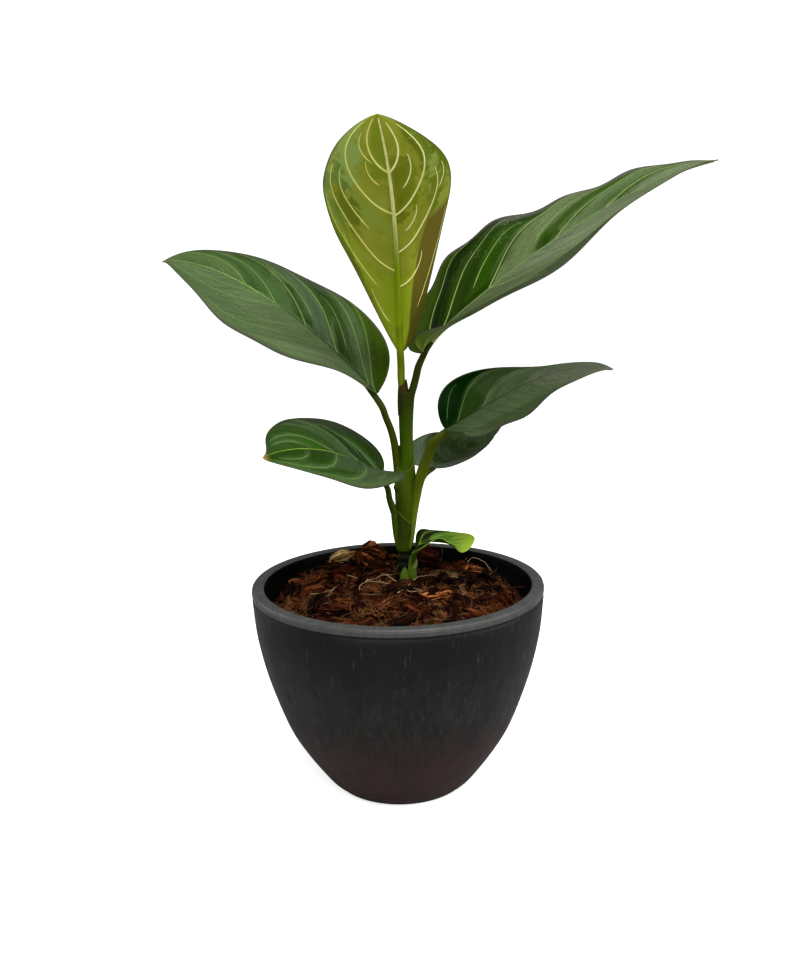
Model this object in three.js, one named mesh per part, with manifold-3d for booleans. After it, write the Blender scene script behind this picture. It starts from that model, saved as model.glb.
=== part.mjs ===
// A young Chinese evergreen in a round plastic pot filled with coconut husk chips.
// Millimetres, +Z up. The origin is the middle of the pot's flat underside, and -Y faces the viewer.
import * as THREE from 'three';
import { mergeVertices } from 'three/addons/utils/BufferGeometryUtils.js';
import Module from 'manifold-3d';

const manifoldLibrary = await Module();
manifoldLibrary.setup();

// ---------------------------------------------------------------- driving dimensions
const potHeight = 72;
const rimRadius = 50;
const rimInnerRadius = 45.9;
const rimFaceHeight = 2.6;
const baseRadius = 22.4;
const baseThickness = 2.8;
const wallThickness = 2.4;
const potSegments = 48;
const drainHoleCount = 5;
const drainHoleRadius = 3.2;
const drainRingRadius = 13;

const clearance = 0.3;
const bedEdgeHeight = 64.5;
const bedCrownRise = 5;
const bedBackDip = 3.5;
const bedSegments = 44;
const bedRings = 12;
const chipCount = 40;
const chipSeed = 41;

const bladeThickness = 0.64;
const bladeStrips = 4;
const petioleSides = 8;
const stemSides = 16;

// ---------------------------------------------------------------- finishes
const finish = (color, roughness) => new THREE.MeshStandardMaterial({ color, roughness, metalness: 0 });
const charcoalPlastic = finish(0x2e2e2c, 0.55);
const darkHusk = finish(0x5a2e18, 0.9);
const orangeHusk = finish(0x8a4a1e, 0.9);
const paleHusk = finish(0xa08c50, 0.85);
const oliveStem = finish(0x4b5a1a, 0.5);
const darkLeaf = finish(0x2f4a26, 0.4);
const midLeaf = finish(0x4a6b35, 0.45);
const paleLeaf = finish(0x7d8a35, 0.45);
const freshLeaf = finish(0x5b8a35, 0.45);

// ---------------------------------------------------------------- solids and booleans
function toSolid(geometry) {
  const bare = geometry.clone();
  bare.deleteAttribute('normal');
  bare.deleteAttribute('uv');
  const merged = mergeVertices(bare, 1e-4);
  const vertProperties = new Float32Array(merged.attributes.position.array);
  const triVerts = new Uint32Array(merged.index.array);
  return new manifoldLibrary.Manifold(new manifoldLibrary.Mesh({ numProp: 3, vertProperties, triVerts }));
}

function toGeometry(solid) {
  const { vertProperties, triVerts } = solid.getMesh();
  const geometry = new THREE.BufferGeometry();
  geometry.setAttribute('position', new THREE.BufferAttribute(new Float32Array(vertProperties), 3));
  geometry.setIndex(new THREE.BufferAttribute(new Uint32Array(triVerts), 1));
  geometry.computeVertexNormals();
  return geometry;
}

const join = (solids) => solids.reduce((whole, piece) => whole.add(piece));
const cut = (solid, cutters) => cutters.reduce((rest, cutter) => rest.subtract(cutter), solid);

// The largest body alone: loose scraps are dropped and sealed hollows are filled.
function largestBody(solid) {
  return solid.decompose().reduce((best, piece) => (piece.volume() > best.volume() ? piece : best));
}

// Closes a stack of rings, each a list of points with the same count, with a fan at both ends.
// The rings run anticlockwise when seen from the end of the stack.
function ringStack(rings) {
  const sides = rings[0].length;
  const vertices = rings.flat();
  const middleOf = (ring) => {
    const middle = new THREE.Vector3();
    ring.forEach((point) => middle.addScaledVector(point, 1 / sides));
    return middle;
  };
  vertices.push(middleOf(rings[0]), middleOf(rings.at(-1)));
  const startMiddle = rings.length * sides;
  const endMiddle = startMiddle + 1;
  const lastRing = (rings.length - 1) * sides;
  const index = [];
  for (let side = 0; side < sides; side += 1) {
    const next = (side + 1) % sides;
    for (let ring = 0; ring < rings.length - 1; ring += 1) {
      const low = ring * sides;
      const high = low + sides;
      index.push(low + side, low + next, high + next, low + side, high + next, high + side);
    }
    index.push(startMiddle, next, side, endMiddle, lastRing + side, lastRing + next);
  }
  const geometry = new THREE.BufferGeometry().setFromPoints(vertices);
  geometry.setIndex(index);
  return toSolid(geometry);
}

// A round tube along a smooth route of [x, y, z, radius] stations.
function taperedTube(stations, sides, steps, grow = 0) {
  const route = new THREE.CatmullRomCurve3(stations.map(([x, y, z]) => new THREE.Vector3(x, y, z)));
  const frames = route.computeFrenetFrames(steps, false);
  const rings = [];
  for (let step = 0; step <= steps; step += 1) {
    const along = step / steps;
    const middle = route.getPointAt(along);
    const stretch = (Number(step === steps) - Number(step === 0)) * grow;
    middle.addScaledVector(frames.tangents[step], stretch);
    const place = route.getUtoTmapping(along) * (stations.length - 1);
    const before = Math.min(Math.floor(place), stations.length - 2);
    const [from, to] = [stations[before][3], stations[before + 1][3]];
    const radius = THREE.MathUtils.lerp(from, to, place - before) + grow;
    const ring = [];
    for (let side = 0; side < sides; side += 1) {
      const angle = (2 * Math.PI * side) / sides;
      const across = frames.normals[step].clone().multiplyScalar(Math.cos(angle) * radius);
      across.addScaledVector(frames.binormals[step], Math.sin(angle) * radius);
      ring.push(across.add(middle));
    }
    rings.push(ring);
  }
  return ringStack(rings);
}

// An upright stack of ovals, each { x, y, z, rx, ry }, whose last oval may rise round its rim.
function ovalStack(sections, grow = 0, topRise = () => 0) {
  const ends = sections.map((_, place) => (place === 0 ? -1 : Number(place === sections.length - 1)));
  const rings = sections.map(({ x, y, z, rx, ry }, place) => {
    const ring = [];
    for (let side = 0; side < stemSides; side += 1) {
      const angle = (2 * Math.PI * side) / stemSides;
      const rise = ends[place] * grow + (ends[place] > 0 ? topRise(angle) : 0);
      const across = Math.cos(angle) * (rx + grow);
      const deep = Math.sin(angle) * (ry + grow);
      ring.push(new THREE.Vector3(x + across, y + deep, z + rise));
    }
    return ring;
  });
  return ringStack(rings);
}

// A repeatable random draw between 0 and 1.
function seededDraw(seed) {
  let state = seed;
  return () => {
    state = (state * 1664525 + 1013904223) % 4294967296;
    return state / 4294967296;
  };
}

// ---------------------------------------------------------------- pot
// Outside wall from the base edge up to the step under the rim.
const wallOutline = [
  [24, 1], [26.4, 3.2], [30, 8], [34.1, 14], [38.7, 22], [42.6, 32], [46.3, 44], [48.8, 56], [49.9, 67.6],
];

function outerRadiusAt(height) {
  const above = wallOutline.findIndex(([, z]) => z >= height);
  if (above < 1) {
    return above < 0 ? wallOutline.at(-1)[0] : wallOutline[0][0];
  }
  const [lowRadius, lowHeight] = wallOutline[above - 1];
  const [highRadius, highHeight] = wallOutline[above];
  return THREE.MathUtils.mapLinear(height, lowHeight, highHeight, lowRadius, highRadius);
}

const innerRadiusAt = (height) => outerRadiusAt(height) - wallThickness;
const insideHeights = [5, 12, 22, 34, 48, 66];

function potSolid() {
  const lipFoot = potHeight - rimFaceHeight;
  const profile = [
    [0, 0],
    [baseRadius, 0],
    [baseRadius + 1, 0.4],
    ...wallOutline,
    [49.3, lipFoot - 0.9],
    [49.5, lipFoot - 0.2],
    [rimRadius, lipFoot + 0.3],
    [rimRadius, potHeight - 1],
    [rimRadius - 0.9, potHeight],
    [rimInnerRadius + 0.4, potHeight],
    [rimInnerRadius, potHeight - 0.4],
    [rimInnerRadius, lipFoot],
    ...insideHeights.toReversed().map((height) => [innerRadiusAt(height), height]),
    [innerRadiusAt(insideHeights[0]) - 2.6, baseThickness],
    [0, baseThickness],
  ];
  const turned = new THREE.LatheGeometry(profile.map(([r, z]) => new THREE.Vector2(r, z)), potSegments);
  turned.rotateX(Math.PI / 2);
  const drains = [];
  for (let hole = 0; hole < drainHoleCount; hole += 1) {
    const angle = (2 * Math.PI * hole) / drainHoleCount;
    const drain = new THREE.CylinderGeometry(drainHoleRadius, drainHoleRadius, 4 * baseThickness, 12);
    drain.rotateX(Math.PI / 2);
    drain.translate(Math.cos(angle) * drainRingRadius, Math.sin(angle) * drainRingRadius, 0);
    drains.push(toSolid(drain));
  }
  return cut(toSolid(turned), drains);
}

// ---------------------------------------------------------------- stem and side shoot
const stumpStations = [
  [1.9, 9.2, 56, 1.6],
  [1.8, 9.1, 62, 2],
  [1.6, 9, 68, 2.1],
  [1.9, 9, 74, 1.9],
  [2.2, 9, 78, 2.1],
  [2.4, 9, 83, 2.2],
];

// The nested leaf sheaths, read as one stalk.
const stalkSections = [
  { x: 2.4, y: 9, z: 80.2, rx: 2.3, ry: 2.4 },
  { x: 2.4, y: 9, z: 81.4, rx: 2.8, ry: 2.9 },
  { x: 2.7, y: 9, z: 90, rx: 3, ry: 3 },
  { x: 2.9, y: 9, z: 98, rx: 3, ry: 3 },
  { x: 3.2, y: 9, z: 108, rx: 2.7, ry: 2.8 },
  { x: 3.7, y: 8.9, z: 116, rx: 2.3, ry: 2.6 },
  { x: 3.7, y: 8.6, z: 124, rx: 2.4, ry: 2.4 },
  { x: 3.8, y: 8.3, z: 130, rx: 2.6, ry: 2.2 },
  { x: 4, y: 8.1, z: 135, rx: 2.8, ry: 1.9 },
  { x: 4, y: 8, z: 136.2, rx: 2.4, ry: 1.5 },
];

// The lowest sheath stands proud of the stalk and ends in a slanted edge, high on the left.
const lowSheathSections = [
  { x: 2.5, y: 9, z: 80.5, rx: 2.7, ry: 2.8 },
  { x: 2.5, y: 9, z: 81.9, rx: 3.1, ry: 3.3 },
  { x: 2.6, y: 9, z: 86, rx: 3.4, ry: 3.5 },
  { x: 2.7, y: 9, z: 92.5, rx: 3.4, ry: 3.4 },
];
const lowSheathEdge = (angle) => -3.2 * Math.cos(angle);

// The next sheath is open in a V towards the viewer and runs high round the back.
const midSheathSections = [
  { x: 2.9, y: 9, z: 93, rx: 3.2, ry: 3.2 },
  { x: 3, y: 9, z: 97, rx: 3.5, ry: 3.5 },
  { x: 3.1, y: 9, z: 105, rx: 3.8, ry: 3.6 },
  { x: 3, y: 9, z: 113.5, rx: 3.5, ry: 3.2 },
];
const midSheathEdge = (angle) => 4 * Math.sin(angle);

// Short collars that the two topmost leaf stalks grow out of.
const topCollars = [
  [[3.2, 8.4, 131, 1.6], [2.6, 8.2, 136, 1.65], [2.4, 8, 139.2, 1.45]],
  [[4.8, 8.1, 131, 1.6], [5.6, 7.9, 134.5, 1.6], [6.2, 7.6, 137, 1.45]],
];

const buriedBud = [[1, 7.6, 102.4, 1.1], [-0.4, 7, 103, 1.2], [-1, 6.8, 103.4, 0.7]];

function stalkParts(grow) {
  return [
    ovalStack(stalkSections, grow),
    ovalStack(lowSheathSections, grow, lowSheathEdge),
    ovalStack(midSheathSections, grow, midSheathEdge),
    ...topCollars.map((stations) => taperedTube(stations, 12, 4, grow)),
    taperedTube(buriedBud, 8, 3, grow),
  ];
}

const stumpPart = (grow) => taperedTube(stumpStations, 12, 8, grow);

const shootStations = [
  [3.8, 4.6, 58, 0.9],
  [3.9, 4.3, 64, 1.1],
  [4.2, 4.2, 70, 1.25],
  [4.8, 3.9, 75, 1.2],
  [5.1, 3.2, 78, 1.1],
];

// The green scale leaf that wraps the foot of the side shoot.
const shootScaleSections = [
  { x: 3.7, y: 4, z: 65.5, rx: 1.4, ry: 1.3 },
  { x: 3.7, y: 3.7, z: 68, rx: 2.8, ry: 1.8 },
  { x: 3.6, y: 3.6, z: 71, rx: 3.1, ry: 1.8 },
  { x: 3.4, y: 3.7, z: 73.4, rx: 2, ry: 1.5 },
  { x: 3.2, y: 3.8, z: 75, rx: 0.8, ry: 0.8 },
];

function shootSolid(grow) {
  return taperedTube(shootStations, 10, 8, grow).add(ovalStack(shootScaleSections, grow));
}

// ---------------------------------------------------------------- leaves
// midrib: four control points of a Bezier curve from the leaf stalk to the tip.
// rows: how many rows of triangles the blade is split into.
// halfWidth with baseFullness and tipFullness: the outline, blunt where a fullness is small.
// roll, fold and curl: degrees at the base, the middle and the tip. Roll turns the blade about its
// midrib, fold lifts both halves into a V, and curl bends each half towards its margin.
// left and right, seen along the midrib from above: width factor, wave [height, count, phase], lobe,
// and where a margin is crimped a ripple with the same three values.
// stalk: stations of the leaf stalk, [x, y, z, radius], from below the blade to the stem.
const upright = [0, 0, 1];
const leaves = {
  leaf_top: {
    midrib: [[2.2, 5.7, 149.5], [1.1, -2.8, 177.9], [2.2, -44.8, 198], [-2.9, -64.3, 216.8]],
    faceTowards: [0, 1, 0],
    rows: 20,
    halfWidth: 23,
    baseFullness: 0.66,
    tipFullness: 0.72,
    roll: [-10, 3, -24],
    fold: [64, 39, 5],
    curl: [13, 13, 10],
    left: { width: 0.94, wave: [0.2, 2.97, -0.13], lobe: 2 },
    right: { width: 1.06, wave: [-0.6, 2.98, 0.45], lobe: 1.8 },
    stalk: [[2.3, 7, 145.3, 1.25], [2.3, 7.8, 141.5, 1.25], [2.5, 8.2, 137.5, 1.25]],
    finish: paleLeaf,
  },
  leaf_upper_left: {
    midrib: [[-6, 5.1, 136.1], [-22.6, 22.4, 153.7], [-60.3, 32.3, 184.3], [-83.1, 40.6, 180.6]],
    faceTowards: upright,
    rows: 20,
    halfWidth: 21.4,
    baseFullness: 0.64,
    tipFullness: 0.89,
    roll: [-9, -25, -17],
    fold: [48, -1, 20],
    curl: [1, -9, -10],
    left: { width: 1.05, wave: [0.53, 3.08, 0.08], lobe: 0 },
    right: { width: 1.03, wave: [0.31, 3.11, 1.17], lobe: 0 },
    stalk: [
      [-4.7, 6, 132, 1.15], [-3, 6.8, 127.3, 1.15], [-1.5, 7.5, 123.2, 1.2],
      [-0.4, 8, 118.4, 1.3], [0.3, 8.4, 112.5, 1.4], [0.7, 8.7, 106.5, 1.4],
    ],
    finish: darkLeaf,
  },
  leaf_upper_right: {
    midrib: [[9, 4.1, 149.5], [10.6, 6.3, 155.3], [71.5, 11.4, 204.6], [108.3, 14.3, 210.6]],
    faceTowards: upright,
    rows: 30,
    halfWidth: 20.1,
    baseFullness: 0.56,
    tipFullness: 1.19,
    roll: [-24, 33, 7],
    fold: [32, 19, 28],
    curl: [0, 0, 0],
    left: { width: 1.02, wave: [2.05, 2.13, 2.15], ripple: [0.91, 6.64, -0.42], lobe: 0 },
    right: { width: 1.01, wave: [-1.03, 2.99, -2.18], lobe: 0.8 },
    stalk: [[8.3, 5.6, 145.2, 1.2], [7.3, 6.7, 141.2, 1.25], [6.4, 7.4, 137.8, 1.3], [5.6, 7.9, 135, 1.3]],
    finish: darkLeaf,
  },
  leaf_lower_left: {
    midrib: [[-4.4, 3.4, 108.9], [-14.1, -3.2, 116.3], [-25.8, -40.5, 129.4], [-39.2, -40.7, 123.2]],
    faceTowards: upright,
    rows: 17,
    halfWidth: 16.8,
    baseFullness: 0.52,
    tipFullness: 0.65,
    roll: [-21, -34, -6],
    fold: [48, 1, -4],
    curl: [1, -8, -9],
    left: { width: 1.1, wave: [-0.34, 2.43, -0.14], lobe: 3.4 },
    right: { width: 1.05, wave: [-0.14, 2.98, -0.41], lobe: 1.5 },
    stalk: [
      [-3.2, 4.6, 103.9, 1], [-2.4, 6, 99.4, 1.1], [-1.4, 7, 96, 1.3], [-0.1, 8, 92, 1.4],
      [1.2, 8.7, 88, 1.4],
    ],
    finish: midLeaf,
  },
  leaf_middle_right: {
    midrib: [[16.3, -4.1, 125.1], [33.7, -6.5, 134.4], [49.3, -21.8, 150.4], [66.5, -28.9, 146.5]],
    faceTowards: upright,
    rows: 17,
    halfWidth: 16.7,
    baseFullness: 0.53,
    tipFullness: 0.99,
    roll: [49, 28, 13],
    fold: [51, -13, 2],
    curl: [1, -10, -10],
    left: { width: 1.06, wave: [-0.22, 2.82, -0.37], lobe: 0.8 },
    right: { width: 1.01, wave: [0.64, 3.03, 0.56], lobe: 0 },
    stalk: [
      [14.2, -1.2, 121.6, 1.4], [12.1, 1.4, 118.1, 1.7], [10.7, 3.6, 113.6, 1.8], [9.2, 5.4, 109.4, 1.9],
      [7.9, 6.7, 105, 1.75], [6.9, 7.5, 100, 1.6], [6, 8, 94, 1.35], [5.2, 8.4, 88, 1.1],
    ],
    finish: darkLeaf,
  },
  leaf_low_back: {
    midrib: [[12, 10.6, 109.2], [17.2, 22.7, 112], [30.2, 30.8, 107.8], [41.2, 36.7, 122.6]],
    faceTowards: upright,
    rows: 14,
    halfWidth: 13.6,
    baseFullness: 0.51,
    tipFullness: 0.81,
    roll: [7, 6, -19],
    fold: [12, 27, 17],
    curl: [0, 0, 0],
    left: { width: 1.03, wave: [0.14, 2.96, -0.37], lobe: 5.1 },
    right: { width: 0.99, wave: [0.11, 3, -0.11], lobe: 2.2 },
    stalk: [[10.3, 10.9, 107.2, 1.2], [8.2, 11, 104.2, 1.3], [6, 11.1, 100, 1.3], [4.4, 10.9, 95.5, 1.2]],
    finish: darkLeaf,
  },
  leaf_side_shoot: {
    midrib: [[6.1, -3.7, 83.4], [9.5, -5.1, 92.2], [18.1, 0, 82.1], [26.3, -3.3, 87.4]],
    faceTowards: upright,
    rows: 14,
    halfWidth: 10,
    baseFullness: 0.6,
    tipFullness: 0.7,
    roll: [18, -4, 34],
    fold: [4, 12, -12],
    curl: [0, 0, 0],
    left: { width: 1.01, wave: [-0.11, 2.88, -0.67], lobe: 0 },
    right: { width: 1.05, wave: [0.48, 2.99, 1.22], lobe: 0 },
    stalk: [[5.9, -1.6, 82, 0.95], [5.7, 0.8, 80.4, 1], [5.4, 2.4, 78.8, 1], [5, 3.4, 77, 1]],
    finish: freshLeaf,
  },
};

// A value given at the base, the middle and the tip, as a smooth curve through all three.
function along3([base, middle, tip], t) {
  return base * (1 - t) * (1 - 2 * t) + middle * 4 * t * (1 - t) + tip * t * (2 * t - 1);
}

// Rows lie closer together where the outline turns, at the base and at the tip.
function rowPlace(share) {
  return THREE.MathUtils.lerp(share ** 1.5, 1 - (1 - share) ** 1.3, share);
}

function outlineWidth(leaf, t) {
  const { baseFullness: base, tipFullness: tip } = leaf;
  const widest = base / (base + tip);
  const clamped = THREE.MathUtils.clamp(t, 1e-4, 1 - 1e-4);
  const width = leaf.halfWidth * (clamped / widest) ** base * ((1 - clamped) / (1 - widest)) ** tip;
  const smallest = t < 0.5 ? 1.2 : 0.4;
  return Math.max(width, smallest);
}

// The middle surface of a blade: rows of points from the right margin over the midrib to the left one.
function bladeSurface(leaf) {
  const midrib = new THREE.CubicBezierCurve3(...leaf.midrib.map((point) => new THREE.Vector3(...point)));
  const facing = new THREE.Vector3(...leaf.faceTowards);
  const rows = [];
  for (let row = 0; row <= leaf.rows; row += 1) {
    const t = rowPlace(row / leaf.rows);
    const middle = midrib.getPoint(t);
    const forward = midrib.getTangent(t);
    const sideways = facing.clone().cross(forward).normalize();
    const upward = forward.clone().cross(sideways);
    const width = outlineWidth(leaf, t);
    const ribShare = Math.min((1 - t) * 0.7 + 0.3, width * 0.3) / width;
    const sweepBack = 2 * (1 - t) ** 4 * Math.min(1, width / leaf.halfWidth);
    const half = (side, sign) => {
      const points = [];
      const walk = middle.clone();
      let reached = 0;
      for (let strip = 0; strip <= bladeStrips; strip += 1) {
        const share = THREE.MathUtils.lerp(ribShare, 1, strip / bladeStrips);
        const between = (share + reached) / 2;
        const tilt = along3(leaf.fold, t) * Math.min(1, between / 0.3) + sign * along3(leaf.roll, t)
          + along3(leaf.curl, t) * (2 * between - 1);
        const angle = THREE.MathUtils.degToRad(tilt);
        const step = width * side.width * (share - reached);
        walk.addScaledVector(sideways, sign * Math.cos(angle) * step);
        walk.addScaledVector(upward, Math.sin(angle) * step);
        reached = share;
        const [height, count, phase] = side.wave;
        const wave = height * Math.sin(2 * Math.PI * count * t + phase) * Math.sin(Math.PI * t);
        const [crimp, crimps, shift] = side.ripple ?? [0, 0, 0];
        const ripple = crimp * Math.sin(2 * Math.PI * crimps * t + shift) * Math.sin(Math.PI * t);
        const point = walk.clone().addScaledVector(upward, wave * share ** 2 + ripple * share ** 3);
        points.push(point.addScaledVector(forward, -side.lobe * sweepBack * share ** 2));
      }
      return points;
    };
    rows.push([...half(leaf.right, -1).reverse(), middle, ...half(leaf.left, 1)]);
  }
  return rows;
}

// Thickens the middle surface. Both faces are split into the same triangles, and a rib stands
// out of the underside along the midrib.
function bladeSolid(leaf) {
  const rows = bladeSurface(leaf);
  const columns = rows[0].length;
  const at = (row, column) => row * columns + column;
  const triangles = [];
  for (let row = 0; row < rows.length - 1; row += 1) {
    for (let column = 0; column < columns - 1; column += 1) {
      triangles.push([at(row, column), at(row + 1, column), at(row + 1, column + 1)]);
      triangles.push([at(row, column), at(row + 1, column + 1), at(row, column + 1)]);
    }
  }
  const middle = new THREE.BufferGeometry().setFromPoints(rows.flat());
  middle.setIndex(triangles.flat());
  middle.computeVertexNormals();
  const normals = middle.attributes.normal;
  const top = [];
  const under = [];
  rows.flat().forEach((point, place) => {
    const normal = new THREE.Vector3().fromBufferAttribute(normals, place);
    const t = rowPlace(Math.floor(place / columns) / leaf.rows);
    const onMidrib = place % columns === (columns - 1) / 2;
    const rib = onMidrib ? 0.9 * (1 - t) ** 0.8 : 0;
    top.push(point.clone().addScaledVector(normal, bladeThickness / 2));
    under.push(point.clone().addScaledVector(normal, -bladeThickness / 2 - rib));
  });
  const below = top.length;
  const index = triangles.flat();
  triangles.forEach(([a, b, c]) => index.push(below + a, below + c, below + b));
  const edge = (from, to) => index.push(from, below + from, below + to, from, below + to, to);
  for (let row = 0; row < rows.length - 1; row += 1) {
    edge(at(row, 0), at(row + 1, 0));
    edge(at(row + 1, columns - 1), at(row, columns - 1));
  }
  for (let column = 0; column < columns - 1; column += 1) {
    edge(at(0, column + 1), at(0, column));
    edge(at(rows.length - 1, column), at(rows.length - 1, column + 1));
  }
  const geometry = new THREE.BufferGeometry().setFromPoints([...top, ...under]);
  geometry.setIndex(index);
  return toSolid(geometry);
}

function leafSolid(leaf, neighbours) {
  const midrib = new THREE.CubicBezierCurve3(...leaf.midrib.map((point) => new THREE.Vector3(...point)));
  const inside = midrib.getPoint(0.05);
  const start = midrib.getPoint(0);
  const stations = [
    [inside.x, inside.y, inside.z - 0.3, 0.7],
    [start.x, start.y, start.z, leaf.stalk[0][3]],
    ...leaf.stalk,
  ];
  const stalk = taperedTube(stations, petioleSides, 2 * stations.length);
  return largestBody(cut(bladeSolid(leaf).add(stalk), neighbours));
}

// ---------------------------------------------------------------- growing medium
// Smooth lumps over the bed, from random heights on a square lattice.
function lumps(x, y, size, seed) {
  const heightAt = (column, row) => {
    const draw = Math.sin(column * 127.1 + row * 311.7 + seed * 74.7) * 43758.5453;
    return draw - Math.floor(draw);
  };
  const column = Math.floor(x / size);
  const row = Math.floor(y / size);
  const u = THREE.MathUtils.smoothstep(x / size - column, 0, 1);
  const v = THREE.MathUtils.smoothstep(y / size - row, 0, 1);
  const near = THREE.MathUtils.lerp(heightAt(column, row), heightAt(column + 1, row), u);
  const far = THREE.MathUtils.lerp(heightAt(column, row + 1), heightAt(column + 1, row + 1), u);
  return THREE.MathUtils.lerp(near, far, v) - 0.5;
}

function bedHeight(x, y) {
  const reach = Math.min(1, Math.hypot(x, y) / rimInnerRadius);
  const crown = bedEdgeHeight + bedCrownRise * (1 - reach ** 2);
  const mound = 2.5 * Math.exp(-((x + 10) ** 2 + (y - 20) ** 2) / 260);
  const back = THREE.MathUtils.smoothstep(y, -16, 8);
  const dip = bedBackDip * back * THREE.MathUtils.smoothstep(reach, 0.76, 0.97);
  return crown + mound - dip + 2.6 * lumps(x, y, 6.5, 1) + 1.2 * lumps(x, y, 3.1, 2);
}

function bedCore() {
  const ringOf = (radius, heightOf) => {
    const ring = [];
    for (let side = 0; side < bedSegments; side += 1) {
      const angle = (2 * Math.PI * side) / bedSegments;
      const x = radius * Math.cos(angle);
      const y = radius * Math.sin(angle);
      ring.push(new THREE.Vector3(x, y, heightOf(x, y)));
    }
    return ring;
  };
  const side = clearance + 0.1;
  const bottom = baseThickness + clearance;
  const rings = [ringOf(innerRadiusAt(insideHeights[0]) - 3.2, () => bottom)];
  for (const height of insideHeights.slice(0, -1)) {
    rings.push(ringOf(innerRadiusAt(height) - side, () => height));
  }
  const edgeRadius = innerRadiusAt(bedEdgeHeight) - side - 0.6;
  for (let ring = 0; ring < bedRings; ring += 1) {
    rings.push(ringOf(edgeRadius * (1 - ring / bedRings), (x, y) => Math.min(bedHeight(x, y), 71)));
  }
  return ringStack(rings);
}

// A broken block of husk, with its corners pushed about.
function huskBlock({ x, y, z, size, turn }, draw) {
  const block = new THREE.BoxGeometry(...size);
  const corners = new Map();
  const position = block.attributes.position;
  for (let i = 0; i < position.count; i += 1) {
    const corner = new THREE.Vector3().fromBufferAttribute(position, i);
    const key = `${Math.sign(corner.x)}${Math.sign(corner.y)}${Math.sign(corner.z)}`;
    if (!corners.has(key)) {
      corners.set(key, [0, 1, 2].map(() => 0.72 + 0.4 * draw()));
    }
    const [a, b, c] = corners.get(key);
    position.setXYZ(i, corner.x * a, corner.y * b, corner.z * c);
  }
  block.rotateX(turn[0]);
  block.rotateY(turn[1]);
  block.rotateZ(turn[2]);
  block.translate(x, y, z);
  return block;
}

function scatteredChips() {
  const draw = seededDraw(chipSeed);
  const chips = [];
  for (let chip = 0; chip < chipCount; chip += 1) {
    const radius = 41 * Math.sqrt((chip + 0.5) / chipCount);
    const angle = chip * 2.39996 + 0.5 * draw();
    const x = radius * Math.cos(angle);
    const y = radius * Math.sin(angle);
    const length = 4 + 6 * draw();
    const size = [length, 2.4 + 2.6 * draw(), 2 + 2 * draw()];
    const turn = [1.2 * (draw() - 0.5), 1 * (draw() - 0.5), Math.PI * draw()];
    const z = bedHeight(x, y) + 0.1 * length;
    chips.push(toSolid(huskBlock({ x, y, z, size, turn }, draw)));
  }
  return chips;
}

// The large loose chunks, each seated in a hollow of its own shape.
const chunks = {
  husk_chunk_peak: { x: -9.5, y: 19.5, z: 75.6, size: [10, 7, 9.5], turn: [0.3, 0.5, 0.4] },
  husk_chunk_pale: { x: -20, y: 24.5, z: 72.5, size: [9.5, 6, 6], turn: [0.1, -0.2, 0.2] },
  husk_chunk_left: { x: -27, y: 8, z: 69, size: [11, 7, 5.5], turn: [-0.2, 0.2, 0.9] },
  husk_chunk_right: { x: 12, y: 21, z: 73, size: [8, 7, 8], turn: [0.5, 0.2, -0.3] },
  husk_chunk_far_right: { x: 27, y: 15, z: 69, size: [10, 7, 6], turn: [0.2, 0.3, 0.5] },
  husk_chunk_front: { x: 12, y: -14, z: 69.5, size: [12, 7, 5], turn: [0.2, -0.15, 0.2] },
  husk_chunk_front_left: { x: -16, y: -17, z: 68.5, size: [11, 6.5, 5], turn: [-0.2, 0.1, -0.5] },
  husk_chunk_near_right: { x: 30, y: -12, z: 67.5, size: [9, 7, 5], turn: [0.1, 0.2, 1.1] },
};
const chunkFinishes = {
  husk_chunk_pale: paleHusk,
  husk_chunk_right: darkHusk,
  husk_chunk_near_right: darkHusk,
};

// ---------------------------------------------------------------- assembly
const part = new THREE.Group();

function addPiece(name, solid, material) {
  const mesh = new THREE.Mesh(toGeometry(solid), material.clone());
  mesh.name = name;
  part.add(mesh);
}

addPiece('pot', potSolid(), charcoalPlastic);

const plantCutters = [stumpPart(clearance), shootSolid(clearance), ...stalkParts(clearance)];
const chunkCutters = [];
for (const [name, chunk] of Object.entries(chunks)) {
  const draw = seededDraw(Math.round(100 + chunk.x));
  addPiece(name, cut(toSolid(huskBlock(chunk, draw)), plantCutters), chunkFinishes[name] ?? orangeHusk);
  const socket = { ...chunk, size: chunk.size.map((side) => side + 3 * clearance) };
  const sameDraw = seededDraw(Math.round(100 + chunk.x));
  chunkCutters.push(toSolid(huskBlock(socket, sameDraw)));
}
const bed = join([bedCore(), ...scatteredChips()]);
addPiece('husk_bed', largestBody(cut(bed, [...plantCutters, ...chunkCutters])), darkHusk);

addPiece('stem', join([...stalkParts(0), stumpPart(0)]), oliveStem);
addPiece('side_shoot', shootSolid(0), oliveStem);

const stemCutters = [...stalkParts(clearance)];
for (const [name, leaf] of Object.entries(leaves)) {
  const cutters = name === 'leaf_side_shoot' ? [shootSolid(clearance), ...stemCutters] : stemCutters;
  addPiece(name, leafSolid(leaf, cutters), leaf.finish);
}

export default part;
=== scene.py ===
"""A young Chinese evergreen in a round charcoal pot of coconut husk chips.

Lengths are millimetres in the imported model's own frame, with +Z up and -Y towards the viewer.
MeshDraft turns them into metres when it makes an object. Colours are 0 to 255 as seen on a screen.
"""

import logging
import math
from collections.abc import Sequence
from dataclasses import dataclass
from enum import Enum, IntEnum

import bpy
import numpy as np
from mathutils import Matrix, Vector, noise
from mathutils.geometry import delaunay_2d_cdt

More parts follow.
